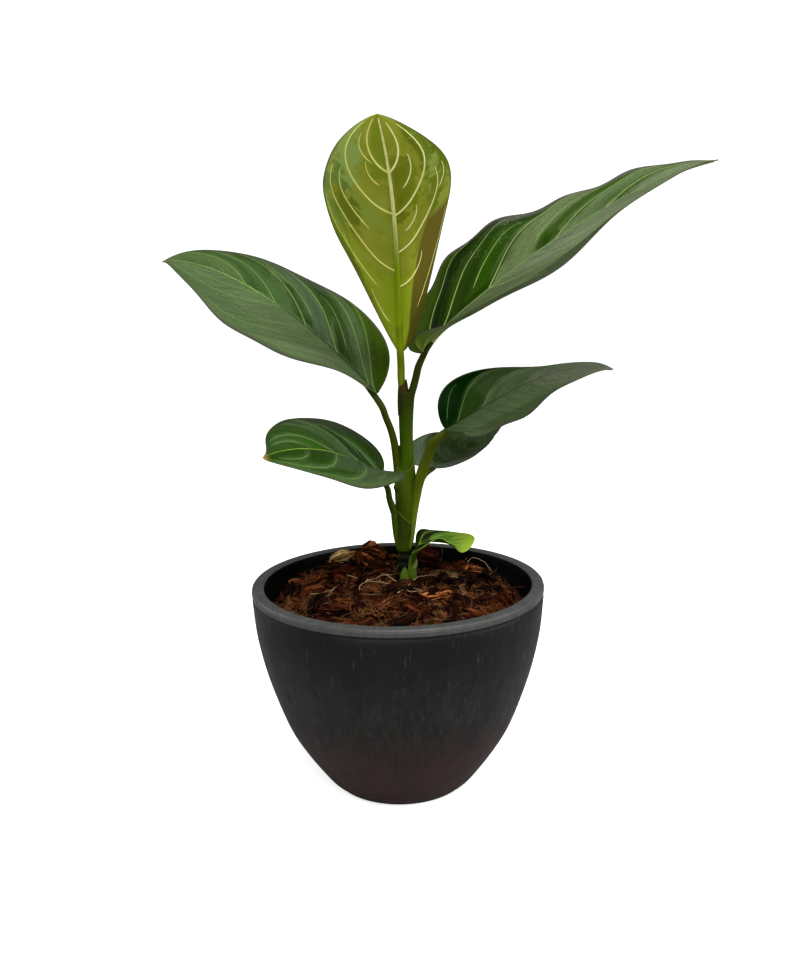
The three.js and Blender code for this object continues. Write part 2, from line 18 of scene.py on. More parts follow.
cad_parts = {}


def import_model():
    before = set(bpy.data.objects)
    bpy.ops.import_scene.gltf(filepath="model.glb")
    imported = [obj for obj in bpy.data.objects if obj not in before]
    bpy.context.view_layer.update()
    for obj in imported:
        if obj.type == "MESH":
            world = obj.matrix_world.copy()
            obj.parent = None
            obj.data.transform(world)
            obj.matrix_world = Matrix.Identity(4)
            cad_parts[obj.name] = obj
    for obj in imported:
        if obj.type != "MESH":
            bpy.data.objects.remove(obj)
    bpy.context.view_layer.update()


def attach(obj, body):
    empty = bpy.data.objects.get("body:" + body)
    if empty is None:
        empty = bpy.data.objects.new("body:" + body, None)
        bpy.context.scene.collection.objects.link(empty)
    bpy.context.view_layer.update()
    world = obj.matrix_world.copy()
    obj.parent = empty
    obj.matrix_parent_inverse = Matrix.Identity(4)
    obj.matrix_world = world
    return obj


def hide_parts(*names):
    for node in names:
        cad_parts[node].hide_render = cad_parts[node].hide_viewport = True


LOG = logging.getLogger("evergreen")
METRES = 0.001
CENTIMETRE = 10
ROOT_BODY = "root"

Point = tuple[float, float, float]
Triple = tuple[float, float, float]
Colour = tuple[int, int, int]
Material = bpy.types.Material
NodeTree = bpy.types.NodeTree
Socket = bpy.types.NodeSocket
Sockets = bpy.types.NodeOutputs
Feed = Socket | float | Sequence[float]


class Slot(Enum):
    """Material slots."""

    POT_PLASTIC = "pot_plastic"
    HUSK_DARK = "husk_dark"
    HUSK_ORANGE = "husk_orange"
    HUSK_PALE = "husk_pale"
    STEM_GREEN = "stem_green"
    LEAF_DARK = "leaf_dark"
    LEAF_MID = "leaf_mid"
    LEAF_PALE = "leaf_pale"
    LEAF_FRESH = "leaf_fresh"


class Face(Enum):
    """The two faces of a blade."""

    UPPER = 1
    UNDER = -1


class Skin(IntEnum):
    """The materials of one leaf, in the order of their numbers."""

    UPPER = 0
    UNDER = 1
    UPPER_VEIN = 2
    UNDER_VEIN = 3
    STALK = 4
    MIDRIB = 5
    UNDER_RIB = 6


# ---------------------------------------------------------------- curves and numbers
def linear(colour: Colour) -> tuple[float, float, float, float]:
    """Turns a screen colour, 0 to 255, into the linear colour that a shader takes, with an alpha of 1."""
    shares = [value / 255 for value in colour]
    bent = [s / 12.92 if s <= 0.04045 else ((s + 0.055) / 1.055) ** 2.4 for s in shares]
    return (bent[0], bent[1], bent[2], 1.0)


def through_three(values: Triple, t: np.ndarray) -> np.ndarray:
    """Runs a smooth curve through values at the base, where t is 0, the middle and the tip, where it is 1."""
    base, middle, tip = values
    return base * (1 - t) * (1 - 2 * t) + middle * 4 * t * (1 - t) + tip * t * (2 * t - 1)


def smooth_route(stations: Sequence[Sequence[float]], count: int) -> np.ndarray:
    """Draws a smooth curve through stations of any number of values each.

    Args:
        stations: the stations, such as (x, y, z, radius), in order.
        count: how many rows to return.

    Returns:
        An array of count rows, evenly spread over the stations.
    """
    given = np.asarray(stations, float)
    padded = np.vstack([2 * given[0] - given[1], given, 2 * given[-1] - given[-2]])
    place = np.linspace(0, len(given) - 1, count)
    before = np.minimum(place.astype(int), len(given) - 2)
    u = (place - before)[:, None]
    p0, p1, p2, p3 = (padded[before + step] for step in range(4))
    bend, turn = 2 * p0 - 5 * p1 + 4 * p2 - p3, 3 * p1 - p0 - 3 * p2 + p3
    return 0.5 * (2 * p1 + (p2 - p0) * u + bend * u**2 + turn * u**3)


def length_along(route: np.ndarray) -> np.ndarray:
    """Gives the length of a route up to each of its points."""
    return np.concatenate([[0], np.cumsum(np.linalg.norm(np.diff(route, axis=0), axis=1))])


def ease_step(value: np.ndarray | float, low: float, high: float) -> np.ndarray | float:
    """Rises smoothly from 0 at low to 1 at high."""
    share = np.clip((value - low) / (high - low), 0, 1)
    return share * share * (3 - 2 * share)


def unit(vectors: np.ndarray) -> np.ndarray:
    """Scales each vector in the last axis to length 1."""
    return vectors / np.maximum(np.linalg.norm(vectors, axis=-1, keepdims=True), 1e-9)


def full_turn(count: int) -> np.ndarray:
    """Gives angles spread evenly round a circle."""
    return np.linspace(0, 2 * math.pi, count, endpoint=False)


def lathe(profile: np.ndarray, sides: int) -> np.ndarray:
    """Turns a section of radii and heights about the Z axis and gives its rings of points."""
    angles = full_turn(sides)
    radii, heights = profile[:, 0][:, None], profile[:, 1][:, None]
    return np.stack(np.broadcast_arrays(radii * np.cos(angles), radii * np.sin(angles), heights), axis=2)


def tube_rings(route: np.ndarray, radii: np.ndarray, sides: int) -> np.ndarray:
    """Sweeps a round section along a route without letting it spin.

    Args:
        route: the middle line, one point a row.
        radii: the radius at each point.
        sides: how many points each ring has.

    Returns:
        Rings of points, as an array of route points by sides by 3.
    """
    tangents = unit(np.gradient(route, axis=0))
    start = np.array([0.0, 0.0, 1.0]) if abs(tangents[0][2]) < 0.9 else np.array([1.0, 0.0, 0.0])
    across = unit(np.cross(start, tangents[0]))
    angles = full_turn(sides)
    rings = []
    for middle, tangent, radius in zip(route, tangents, radii):
        across = unit(across - tangent * (across @ tangent))
        ring = np.outer(np.cos(angles), across) + np.outer(np.sin(angles), np.cross(tangent, across))
        rings.append(middle + ring * radius)
    return np.array(rings)


def turn_matrix(turn: Triple) -> np.ndarray:
    """Gives the rotation about X, then Y, then Z, by angles in radians."""
    spins = [Matrix.Rotation(angle, 3, axis) for angle, axis in zip(turn, "XYZ")]
    return np.array(spins[2] @ spins[1] @ spins[0])


# ---------------------------------------------------------------- meshes
def grid_places(columns: np.ndarray, rows: np.ndarray) -> np.ndarray:
    """Gives each point of a grid its column's value and its row's value."""
    return np.stack(np.broadcast_arrays(columns[None, :], rows[:, None]), axis=2)


def quad_corners(grid: np.ndarray, flip: bool = False) -> np.ndarray:
    """Picks each quad's corners out of a grid, the other way round if flipped."""
    rows, columns = grid.shape[0] - 1, grid.shape[1] - 1
    order = ((0, 0), (1, 0), (1, 1), (0, 1)) if flip else ((0, 0), (0, 1), (1, 1), (1, 0))
    picked = [grid[i : i + rows, j : j + columns] for i, j in order]
    return np.stack([p.reshape(rows * columns, *grid.shape[2:]) for p in picked], axis=1)


class MeshDraft:
    """Collects points, faces, finishes and two sets of surface coordinates for one mesh."""

    def __init__(self) -> None:
        """Starts an empty draft."""
        self.points: list[np.ndarray] = []
        self.total = 0
        self.faces: list[list[int]] = []
        self.surface: list[np.ndarray] = []
        self.flow: list[np.ndarray] = []
        self.finishes: list[np.ndarray] = []
        self.light_tones: list[np.ndarray] = []

    def add_points(self, points: np.ndarray) -> np.ndarray:
        """Adds points and gives their numbers.

        Args:
            points: an array whose last axis is x, y, z.

        Returns:
            The points' numbers, in the shape of the other axes.
        """
        flat = points.reshape(-1, 3)
        numbers = self.total + np.arange(len(flat))
        self.points.append(flat)
        self.total += len(flat)
        return numbers.reshape(points.shape[:-1])

    def add_faces(
        self, numbers: np.ndarray, surface: np.ndarray, finish: int, flow: np.ndarray | None = None,
        tone: float = 0.0,
    ) -> None:
        """Adds faces that all have the same number of corners.

        Args:
            numbers: point numbers, faces by corners.
            surface: surface coordinates, faces by corners by 2.
            finish: which of the object's materials they take.
            flow: a second set of coordinates, or None to repeat the first.
            tone: a shade of their own, from 0 to 1.
        """
        self.faces.extend(numbers.tolist())
        self.surface.append(surface.reshape(-1, 2))
        self.flow.append((surface if flow is None else flow).reshape(-1, 2))
        self.finishes.append(np.full(len(numbers), int(finish)))
        self.light_tones.append(np.full(len(numbers), tone))

    def add_grid(
        self, points: np.ndarray, surface: np.ndarray, finish: int, wrap: bool = False,
        flip: bool = False, flow: np.ndarray | None = None, tone: float = 0.0,
    ) -> np.ndarray:
        """Adds a grid of quads. Its faces point along columns x rows, or against that if flipped.

        Args:
            points: rows by columns by 3.
            surface: coordinates for each grid point, with one column more where the grid wraps.
            finish: which of the object's materials it takes.
            wrap: whether the last column joins the first.
            flip: whether the faces point the other way.
            flow: a second set of coordinates like the first.
            tone: a shade of its own.

        Returns:
            The points' numbers, rows by columns.
        """
        numbers = self.add_points(points)
        looped = np.concatenate([numbers, numbers[:, :1]], axis=1) if wrap else numbers
        flows = None if flow is None else quad_corners(flow, flip)
        self.add_faces(quad_corners(looped, flip), quad_corners(surface, flip), finish, flows, tone)
        return numbers

    def add_cap(
        self, numbers: np.ndarray, ring: np.ndarray, finish: int, flip: bool = False,
        place: tuple[float, float] = (0.0, 0.0), tone: float = 0.0,
    ) -> None:
        """Closes a ring of points with a fan about its middle.

        Args:
            numbers: the numbers of the ring's points.
            ring: the points themselves.
            finish: which of the object's materials the fan takes.
            flip: False where the fan ends the rings, True where it starts them.
            place: the fan's surface coordinates.
            tone: a shade of its own.
        """
        middle = self.add_points(ring.mean(axis=0)[None])[0]
        after = np.roll(numbers, -1)
        first, second = (after, numbers) if flip else (numbers, after)
        fan = np.stack([np.full(len(numbers), middle), first, second], axis=1)
        self.add_faces(fan, np.tile(np.array(place, float), (len(numbers), 3, 1)), finish, tone=tone)

    def add_tube(self, rings: np.ndarray, finish: int, tone: float = 0.0, offset: float = 0.0) -> None:
        """Adds a closed tube. Its coordinates are the share round it and the length along it.

        Args:
            rings: rings of points, in order.
            finish: which of the object's materials it takes.
            tone: a shade of its own.
            offset: added to the length, so that no two tubes show the same grain.
        """
        along = offset + length_along(rings.mean(axis=1)) / CENTIMETRE
        surface = grid_places(np.linspace(0, 1, rings.shape[1] + 1), along)
        numbers = self.add_grid(rings, surface, finish, wrap=True, tone=tone)
        for end, flip in ((0, True), (-1, False)):
            self.add_cap(numbers[end], rings[end], finish, flip, (0.5, along[end]), tone)

    def build(
        self, name: str, materials: Sequence[Material], crease: float | None = None
    ) -> bpy.types.Object:
        """Makes the mesh object, in metres.

        Args:
            name: the object's name.
            materials: the finishes, in the order of their numbers.
            crease: the angle in degrees above which an edge stays sharp, or None for none.

        Returns:
            The new object, linked to the scene.
        """
        mesh = bpy.data.meshes.new(name)
        mesh.from_pydata((np.concatenate(self.points) * METRES).tolist(), [], self.faces)
        for layer_name, parts in (("surface", self.surface), ("flow", self.flow)):
            layer = mesh.uv_layers.new(name=layer_name)
            layer.uv.foreach_set("vector", np.concatenate(parts).astype(np.float32).ravel())
        mesh.polygons.foreach_set("material_index", np.concatenate(self.finishes).astype(np.int32))
        mesh.polygons.foreach_set("use_smooth", np.ones(len(self.faces), bool))
        # A per-face share of painted light: the husk's shader paints low values in shade and high values lit.
        tone = mesh.attributes.new("tone", "FLOAT", "FACE")
        tone.data.foreach_set("value", np.concatenate(self.light_tones).astype(np.float32))
        for material in materials:
            mesh.materials.append(material)
        if crease is not None:
            mesh.set_sharp_from_angle(angle=math.radians(crease))
        mesh.validate()
        mesh.update()
        made = bpy.data.objects.new(name, mesh)
        bpy.context.scene.collection.objects.link(made)
        return made


def hand_over(piece: bpy.types.Object, nodes: Sequence[str] = ()) -> None:
    """Lets a piece ride on the part and the solids it stands for, and reports it.

    Args:
        piece: the finished object.
        nodes: the CAD nodes that it replaces.
    """
    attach(piece, ROOT_BODY)
    if nodes:
        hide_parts(*nodes)
    stands_for = ", ".join(nodes) or "nothing"
    LOG.info("%s: %d faces, stands for %s", piece.name, len(piece.data.polygons), stands_for)


# ---------------------------------------------------------------- shader building
class NodeSketch:
    """Adds and joins nodes in one shader tree."""

    def __init__(self, tree: NodeTree) -> None:
        """Takes the node tree to draw in."""
        self.tree = tree

    def feed(self, socket: Socket, value: Feed) -> None:
        """Links a socket to an input, or sets the input to a plain value."""
        if isinstance(value, Socket):
            self.tree.links.new(value, socket)
        else:
            socket.default_value = value

    def add(self, kind: str, feeds: dict[str | int, Feed], **settings: object) -> bpy.types.Node:
        """Adds a node.

        Args:
            kind: the node's type.
            feeds: what goes into each of its inputs.
            **settings: the node's own settings.

        Returns:
            The new node.
        """
        node = self.tree.nodes.new(kind)
        for name, value in settings.items():
            setattr(node, name, value)
        for socket, value in feeds.items():
            self.feed(node.inputs[socket], value)
        return node

    def math(self, operation: str, first: Feed, second: Feed = 0.0, clamp: bool = False) -> Socket:
        """Adds a sum of two values and returns its result."""
        node = self.add("ShaderNodeMath", {0: first, 1: second}, operation=operation, use_clamp=clamp)
        return node.outputs[0]

    def times(self, first: Feed, second: Feed, clamp: bool = False) -> Socket:
        """Multiplies two values."""
        return self.math("MULTIPLY", first, second, clamp)

    def plus(self, first: Feed, second: Feed) -> Socket:
        """Adds two values."""
        return self.math("ADD", first, second)

    def minus(self, first: Feed, second: Feed) -> Socket:
        """Takes the second value from the first."""
        return self.math("SUBTRACT", first, second)

    def mix(self, share: Feed, first: Feed, second: Feed, blend: str = "MIX") -> Socket:
        """Mixes two colours and returns the result."""
        node = self.add("ShaderNodeMix", {0: share, 6: first, 7: second}, data_type="RGBA", blend_type=blend)
        return node.outputs[2]

    def ease(self, value: Feed, low: Feed, high: Feed, start: Feed = 0.0, end: Feed = 1.0) -> Socket:
        """Eases a value from start at low to end at high."""
        feeds = {0: value, 1: low, 2: high, 3: start, 4: end}
        return self.add("ShaderNodeMapRange", feeds, interpolation_type="SMOOTHSTEP").outputs[0]

    def stretch(self, place: Feed, by: Feed) -> Socket:
        """Multiplies a place by a vector."""
        return self.add("ShaderNodeVectorMath", {0: place, 1: by}, operation="MULTIPLY").outputs[0]

    def noise(self, place: Feed, scale: Feed, detail: float) -> Socket:
        """Adds soft noise and returns its value, 0 to 1."""
        feeds = {"Vector": place, "Scale": scale, "Detail": detail}
        return self.add("ShaderNodeTexNoise", feeds).outputs[0]

    def voronoi(self, place: Feed, scale: Feed, output: str, **settings: object) -> Socket:
        """Spreads cells over a place and returns one of their outputs."""
        feeds = {"Vector": place, "Scale": scale}
        return self.add("ShaderNodeTexVoronoi", feeds, **settings).outputs[output]

    def split(self, place: Feed) -> Sockets:
        """Splits a place into its X, Y and Z."""
        return self.add("ShaderNodeSeparateXYZ", {0: place}).outputs

    def uv(self, layer: str) -> Socket:
        """Reads one of the mesh's sets of surface coordinates."""
        return self.add("ShaderNodeUVMap", {}, uv_map=layer).outputs[0]

    def place(self) -> Socket:
        """Reads the place on the object, in millimetres."""
        coordinates = self.add("ShaderNodeTexCoord", {}).outputs["Object"]
        return self.stretch(coordinates, (1000.0, 1000.0, 1000.0))


class EffectSketch(NodeSketch):
    """A shared effect as it is drawn: a node group with named inputs and outputs."""

    def __init__(self, name: str, values: Sequence[str], results: Sequence[str], place: bool = True) -> None:
        """Starts the group.

        Args:
            name: the group's name.
            values: the names of its inputs that are plain values.
            results: the names of its outputs, all plain values.
            place: whether it also takes a place.
        """
        super().__init__(bpy.data.node_groups.new(name, "ShaderNodeTree"))
        kinds = {"Place": "Vector"} if place else {}
        kinds |= {value: "Vector" if value == "Stretch" else "Float" for value in values}
        for socket, kind in kinds.items():
            self.tree.interface.new_socket(name=socket, in_out="INPUT", socket_type=f"NodeSocket{kind}")
        for socket in results:
            self.tree.interface.new_socket(name=socket, in_out="OUTPUT", socket_type="NodeSocketFloat")
        self.given = self.add("NodeGroupInput", {}).outputs
        self.result = self.add("NodeGroupOutput", {}).inputs

    def end(self, **results: Feed) -> NodeTree:
        """Feeds the outputs and gives the finished group."""
        for socket, value in results.items():
            self.feed(self.result[socket], value)
        return self.tree


class Effects:
    """The effects that more than one finish uses, each built once."""

    def __init__(self) -> None:
        """Builds every effect."""
        self.grain = self._grain()
        self.patches = self._patches()
        self.blocks = self._blocks()
        self.cells = self._cells()
        self.margin = self._margin()
        self.specks = self._specks()
        self.zone = self._zone()

    @staticmethod
    def _grain() -> NodeTree:
        """Long fibres: noise drawn out along one direction, in a coarse and a fine layer."""
        sketch = EffectSketch("fibre_grain", ("Stretch", "Scale"), ("Height", "Shade"))
        drawn = sketch.stretch(sketch.given["Place"], sketch.given["Stretch"])
        coarse = sketch.noise(drawn, sketch.given["Scale"], 2.0)
        fine = sketch.noise(drawn, sketch.times(sketch.given["Scale"], 3.7), 4.0)
        height = sketch.plus(sketch.times(coarse, 0.6), sketch.times(fine, 0.4))
        return sketch.end(Height=height, Shade=sketch.ease(height, 0.36, 0.64))

    @staticmethod
    def _patches() -> NodeTree:
        """Blotches of a second colour, with borders as soft or as sharp as asked."""
        sketch = EffectSketch("patches", ("Scale", "Cover", "Softness"), ("Mask",))
        value = sketch.noise(sketch.given["Place"], sketch.given["Scale"], 2.0)
        edge, softness = sketch.minus(1.0, sketch.given["Cover"]), sketch.given["Softness"]
        return sketch.end(Mask=sketch.ease(value, sketch.minus(edge, softness), sketch.plus(edge, softness)))

    @staticmethod
    def _blocks() -> NodeTree:
        """Blotches with stepped borders, as where a leaf's colour changes from cell to cell."""
        sketch = EffectSketch("stepped_blotches", ("Scale", "Cell", "Cover"), ("Mask",))
        cell = sketch.voronoi(sketch.given["Place"], sketch.given["Cell"], "Position", distance="CHEBYCHEV")
        value = sketch.noise(cell, sketch.given["Scale"], 1.0)
        edge = sketch.minus(1.0, sketch.given["Cover"])
        return sketch.end(Mask=sketch.ease(value, edge, sketch.plus(edge, 0.05)))

    @staticmethod
    def _cells() -> NodeTree:
        """The small soft cushions of a leaf's skin."""
        sketch = EffectSketch("skin_cells", ("Scale",), ("Height",))
        place, scale = sketch.given["Place"], sketch.given["Scale"]
        apart = sketch.voronoi(place, scale, "Distance", feature="SMOOTH_F1")
        rough = sketch.noise(place, sketch.times(scale, 0.4), 3.0)
        return sketch.end(Height=sketch.minus(rough, sketch.times(apart, 0.5)))

    @staticmethod
    def _margin() -> NodeTree:
        """A band along both margins of a blade, from its coordinate across."""
        sketch = EffectSketch("margin_band", ("Across", "Start", "End"), ("Mask",), place=False)
        out = sketch.math("ABSOLUTE", sketch.given["Across"])
        return sketch.end(Mask=sketch.ease(out, sketch.given["Start"], sketch.given["End"]))

    @staticmethod
    def _specks() -> NodeTree:
        """Small scattered specks, such as dust or pores."""
        sketch = EffectSketch("specks", ("Scale", "Size"), ("Mask",))
        place, scale = sketch.given["Place"], sketch.given["Scale"]
        near = sketch.voronoi(place, scale, "Distance")
        thin = sketch.noise(place, sketch.times(scale, 0.3), 2.0)
        dot = sketch.ease(near, sketch.given["Size"], 0.0)
        return sketch.end(Mask=sketch.times(dot, sketch.ease(thin, 0.5, 0.62)))

    @staticmethod
    def _zone() -> NodeTree:
        """A soft patch of a blade, between two veins and between two places across."""
        values = ("Flow", "Across", "First", "Last", "Right", "Left")
        sketch = EffectSketch("zone", values, ("Mask",), place=False)
        mask: Feed = 1.0
        for value, low, high, soft in (("Flow", "First", "Last", 0.02), ("Across", "Right", "Left", 0.05)):
            for limit, sign in ((low, 1.0), (high, -1.0)):
                start = sketch.minus(sketch.given[limit], sign * soft)
                end = sketch.plus(sketch.given[limit], sign * soft)
                mask = sketch.times(mask, sketch.ease(sketch.given[value], start, end))
        return sketch.end(Mask=mask)


# ---------------------------------------------------------------- finishes
@dataclass(frozen=True)
class Variegation:
    """Where a blade's second colour lies: its cover on each half, and where it starts and ends."""

    # The second colour is partly the leaf's own variegation and partly painted sheen.
    left: float
    right: float
    start: tuple[float, float] = (0.1, 0.4)
    bands: float = 8.0


@dataclass(frozen=True)
class Zone:
    """A patch of a blade: its colour, the veins and places across that bound it, and how far it covers."""

    colour: Colour
    flow: tuple[float, float]
    across: tuple[float, float]
    share: float = 0.85
    # How much of the zone lies in specks: on pale zones these are painted glints, on dark zones mottle.
    specks: float = 0.0


class Paint(NodeSketch):
    """A material as it is painted: its surface shader, the shared effects and the colour so far."""

    def __init__(self, name: str, effects: Effects, roughness: float, specular: float) -> None:
        """Starts the material.

        Args:
            name: the material's name.
            effects: the shared effects.
            roughness: the shader's roughness, where nothing feeds it.
            specular: the shader's specular level.
        """
        self.material = bpy.data.materials.new(name)
        self.material.use_nodes = True
        self.material.node_tree.nodes.clear()
        super().__init__(self.material.node_tree)
        self.effects = effects
        self.colour: Feed = linear((0, 0, 0))
        levels = {"Roughness": roughness, "Specular IOR Level": specular}
        self.shader = self.add("ShaderNodeBsdfPrincipled", levels)
        self.add("ShaderNodeOutputMaterial", {0: self.shader.outputs[0]})

    def group(self, effect: NodeTree, **feeds: Feed) -> Sockets:
        """Places a shared effect with values of its own and gives its outputs."""
        node = self.add("ShaderNodeGroup", {}, node_tree=effect)
        for name, value in feeds.items():
            self.feed(node.inputs[name], value)
        return node.outputs

    def grain(self, place: Feed, stretch: Triple, scale: float) -> Sockets:
        """Gives the height and the shade of long fibres."""
        return self.group(self.effects.grain, Place=place, Stretch=stretch, Scale=scale)

    def patches(self, place: Feed, scale: float, cover: Feed, softness: float) -> Socket:
        """Gives the mask of blotches."""
        return self.group(self.effects.patches, Place=place, Scale=scale, Cover=cover, Softness=softness)[0]

    def specks(self, place: Feed, scale: float, size: float) -> Socket:
        """Gives the mask of small specks."""
        return self.group(self.effects.specks, Place=place, Scale=scale, Size=size)[0]

    def ground(self, share: Feed, first: Colour, second: Colour) -> None:
        """Starts the colour as a mixture of two."""
        self.colour = self.mix(share, linear(first), linear(second))

    def lay(self, share: Feed, colour: Colour) -> None:
        """Lays a share of a colour over the colour so far."""
        self.colour = self.mix(share, self.colour, linear(colour))

    def shade(self, by: Feed) -> None:
        """Multiplies the colour so far."""
        self.colour = self.mix(1.0, self.colour, by, "MULTIPLY")

    def finish(self, roughness: Feed, height: Feed, strength: float, depth: float) -> Material:
        """Feeds the shader.

        Args:
            roughness: the surface's roughness.
            height: the height that the bumps follow, about 0 to 1.
            strength: how much of it shows.
            depth: what a height of 1 measures, in millimetres.

        Returns:
            The finished material.
        """
        feeds = {"Height": height, "Strength": strength, "Distance": depth * METRES}
        normal = self.add("ShaderNodeBump", feeds).outputs[0]
        surface = {"Base Color": self.colour, "Roughness": roughness, "Normal": normal}
        for socket, value in surface.items():
            self.feed(self.shader.inputs[socket], value)
        return self.material


@dataclass(frozen=True)
class PlasticFinish:
    """Matte charcoal plastic with faint upright streaks."""

    name: str
    face: Colour
    streak: Colour
    foot: Colour
    dust: Colour
    roughness: float
    specular: float
    # Painted shade under the lip: the share of the colour left at the top of the wall.
    upper_share: float = 1.0

    def build(self, effects: Effects) -> Material:
        """Makes the material from the shared effects."""
        paint = Paint(self.name, effects, self.roughness, self.specular)
        place = paint.place()
        height = paint.split(place)[2]
        upright = paint.stretch(place, (1.0, 1.0, 0.16))
        streaks = paint.grain(paint.uv("surface"), (190.0, 1.6, 1.0), 1.0)
        blotch = paint.patches(upright, 0.16, 0.5, 0.25)
        scuffs = paint.patches(upright, 0.9, 0.36, 0.04)
        shown = paint.plus(streaks["Shade"], paint.times(blotch, 0.85))
        paint.ground(paint.times(shown, 0.6, clamp=True), self.face, self.streak)
        # Painted shade: the colour darkens towards the top of the wall, in the shadow under the lip.
        paint.shade(paint.ease(height, 40.0, 66.0, 1.0, self.upper_share))
        paint.lay(paint.times(scuffs, paint.times(streaks["Shade"], 0.3)), self.dust)
        low = paint.times(paint.ease(height, 40.0, 8.0), paint.plus(blotch, 0.45), clamp=True)
        paint.lay(paint.times(low, 0.9), self.foot)
        paint.lay(paint.times(paint.specks(place, 0.55, 0.12), 0.16), self.dust)
        wear = paint.times(paint.plus(blotch, scuffs), 0.08)
        return paint.finish(paint.minus(self.roughness + 0.05, wear), streaks["Height"], 0.35, 0.12)


@dataclass(frozen=True)
class HuskFinish:
    """Coconut husk: browns, patches of dampness, painted light on high chips and painted shade on low ones.
    """

    name: str
    dark: Colour
    middle: Colour
    light: Colour
    grain: float
    depth: float

    def build(self, effects: Effects) -> Material:
        """Makes the material from the shared effects."""
        paint = Paint(self.name, effects, 0.95, 0.03)
        surface, place = paint.uv("surface"), paint.place()
        tone = paint.add("ShaderNodeAttribute", {}, attribute_name="tone").outputs["Fac"]
        fibres = paint.grain(surface, (44.0, 1.2, 1.0), self.grain)
        bundle = paint.grain(surface, (11.0, 0.9, 1.0), self.grain)["Height"]
        fibre = fibres["Height"]
        paint.ground(paint.ease(fibre, 0.42, 0.58), self.dark, self.middle)
        # Painted light: the light colour lies mostly on the fibres of faces painted as lit, the chips that
        # lie high.
        lit = paint.times(paint.ease(fibre, 0.5, 0.62), paint.ease(tone, 0.0, 1.0, 0.25, 1.0))
        paint.lay(paint.times(lit, paint.ease(bundle, 0.42, 0.58, 0.2, 1.0)), self.light)
        # Painted shade: near black in the gaps between fibre bundles.
        paint.lay(paint.times(paint.ease(bundle, 0.48, 0.4), 0.92), (6, 2, 1))
        # Patches of dampness, kept to low-lying faces: partly the husk's own colour, partly painted shade.
        damp_and_shade = paint.times(paint.patches(place, 0.22, 0.5, 0.12), paint.ease(tone, 0.95, 0.1))
        # Painted shade: low-lying chips and the bed's body darken towards the dark colour.
        sunk_shade = paint.ease(tone, 0.45, 0.0, 0.0, 0.85)
        paint.lay(paint.math("MAXIMUM", paint.times(damp_and_shade, 0.75), sunk_shade), self.dark)
        paint.lay(paint.times(paint.specks(place, 1.6, 0.3), 0.8), (8, 4, 2))
        return paint.finish(paint.ease(fibres["Shade"], 0.0, 1.0, 0.78, 0.98), fibre, 1.0, self.depth)


@dataclass(frozen=True)
class StrandFinish:
    """Fibres, roots and membranes: thin things with a colour that shifts along them."""

    name: str
    near: Colour
    far: Colour
    roughness: float

    def build(self, effects: Effects) -> Material:
        """Makes the material from the shared effects."""
        paint = Paint(self.name, effects, self.roughness, 0.1)
        mottle = paint.patches(paint.place(), 0.4, 0.5, 0.2)
        grain = paint.grain(paint.uv("surface"), (6.0, 2.0, 1.0), 2.0)
        share = paint.plus(paint.times(mottle, 0.7), paint.times(grain["Shade"], 0.3))
        paint.ground(share, self.near, self.far)
        rough = paint.plus(paint.times(grain["Shade"], 0.15), self.roughness)
        return paint.finish(rough, grain["Height"], 0.4, 0.05)


@dataclass(frozen=True)
class StalkFinish:
    """Green stalks and sheaths, ribbed lengthwise and shaded from foot to top."""

    name: str
    low: Colour
    high: Colour
    shade: Colour
    foot: float
    top: float
    ribs: float = 7.0

    def build(self, effects: Effects) -> Material:
        """Makes the material from the shared effects."""
        paint = Paint(self.name, effects, 0.46, 0.06)
        place = paint.place()
        ribs = paint.grain(paint.uv("surface"), (self.ribs, 0.35, 1.0), 2.0)
        mottle = paint.patches(place, 0.16, 0.5, 0.2)
        paint.ground(paint.ease(paint.split(place)[2], self.foot, self.top), self.low, self.high)
        paint.lay(paint.times(paint.plus(ribs["Shade"], mottle), 0.3), self.shade)
        return paint.finish(paint.ease(mottle, 0.0, 1.0, 0.36, 0.5), ribs["Height"], 0.5, 0.12)


class BladePaint(Paint):
    """A blade's material, with the coordinates that its patterns follow and the grain of its veins."""

    def __init__(self, name: str, effects: Effects, roughness: float, specular: float) -> None:
        """Starts the material and reads the coordinates: its values are those of Paint."""
        super().__init__(name, effects, roughness, specular)
        self.spot = self.place()
        self.across, self.along = self.split(self.uv("surface"))[0:2]
        self.flow, self.near_vein = self.split(self.uv("flow"))[0:2]
        self.drawn = self.add("ShaderNodeCombineXYZ", {0: self.flow, 1: self.across}).outputs[0]
        self.veined = self.grain(self.drawn, (34.0, 1.6, 1.0), 1.0)

    def blocks(self, scale: float, cell: float, cover: Feed) -> Socket:
        """Gives the mask of blotches with stepped borders."""
        return self.group(self.effects.blocks, Place=self.spot, Scale=scale, Cell=cell, Cover=cover)[0]

    def lay_zones(self, zones: Sequence[Zone], flow: Feed, across: Feed) -> None:
        """Lays zones over the colour so far.

        Args:
            zones: the zones, from the lowest up.
            flow: the coordinate that stays the same along a vein.
            across: the coordinate from the right margin, -1, to the left one, 1.
        """
        glint_and_mottle_dots = None
        for zone in zones:
            (first, last), (right, left) = zone.flow, zone.across
            bounds = {"First": first, "Last": last, "Right": right, "Left": left}
            mask = self.group(self.effects.zone, Flow=flow, Across=across, **bounds)[0]
            # Specks: pale ones are painted glints, dark ones the leaf's mottle.
            if zone.specks:
                glint_and_mottle_dots = glint_and_mottle_dots or self.specks(self.spot, 1.5, 0.5)
                mask = self.times(mask, self.times(glint_and_mottle_dots, zone.specks))
            self.lay(self.times(mask, zone.share), zone.colour)

    def finish_skin(self, roughness: Feed, margin: Colour, margin_end: float) -> Material:
        """Colours the margin, adds the relief of veins and cells, and gives the material."""
        band = self.group(self.effects.margin, Across=self.across, Start=0.95, End=margin_end)[0]
        self.lay(band, margin)
        cushions = self.group(self.effects.cells, Place=self.spot, Scale=1.1)[0]
        relief = self.plus(self.times(self.veined["Height"], 0.8), self.times(cushions, 0.5))
        return self.finish(roughness, relief, 0.45, 0.16)


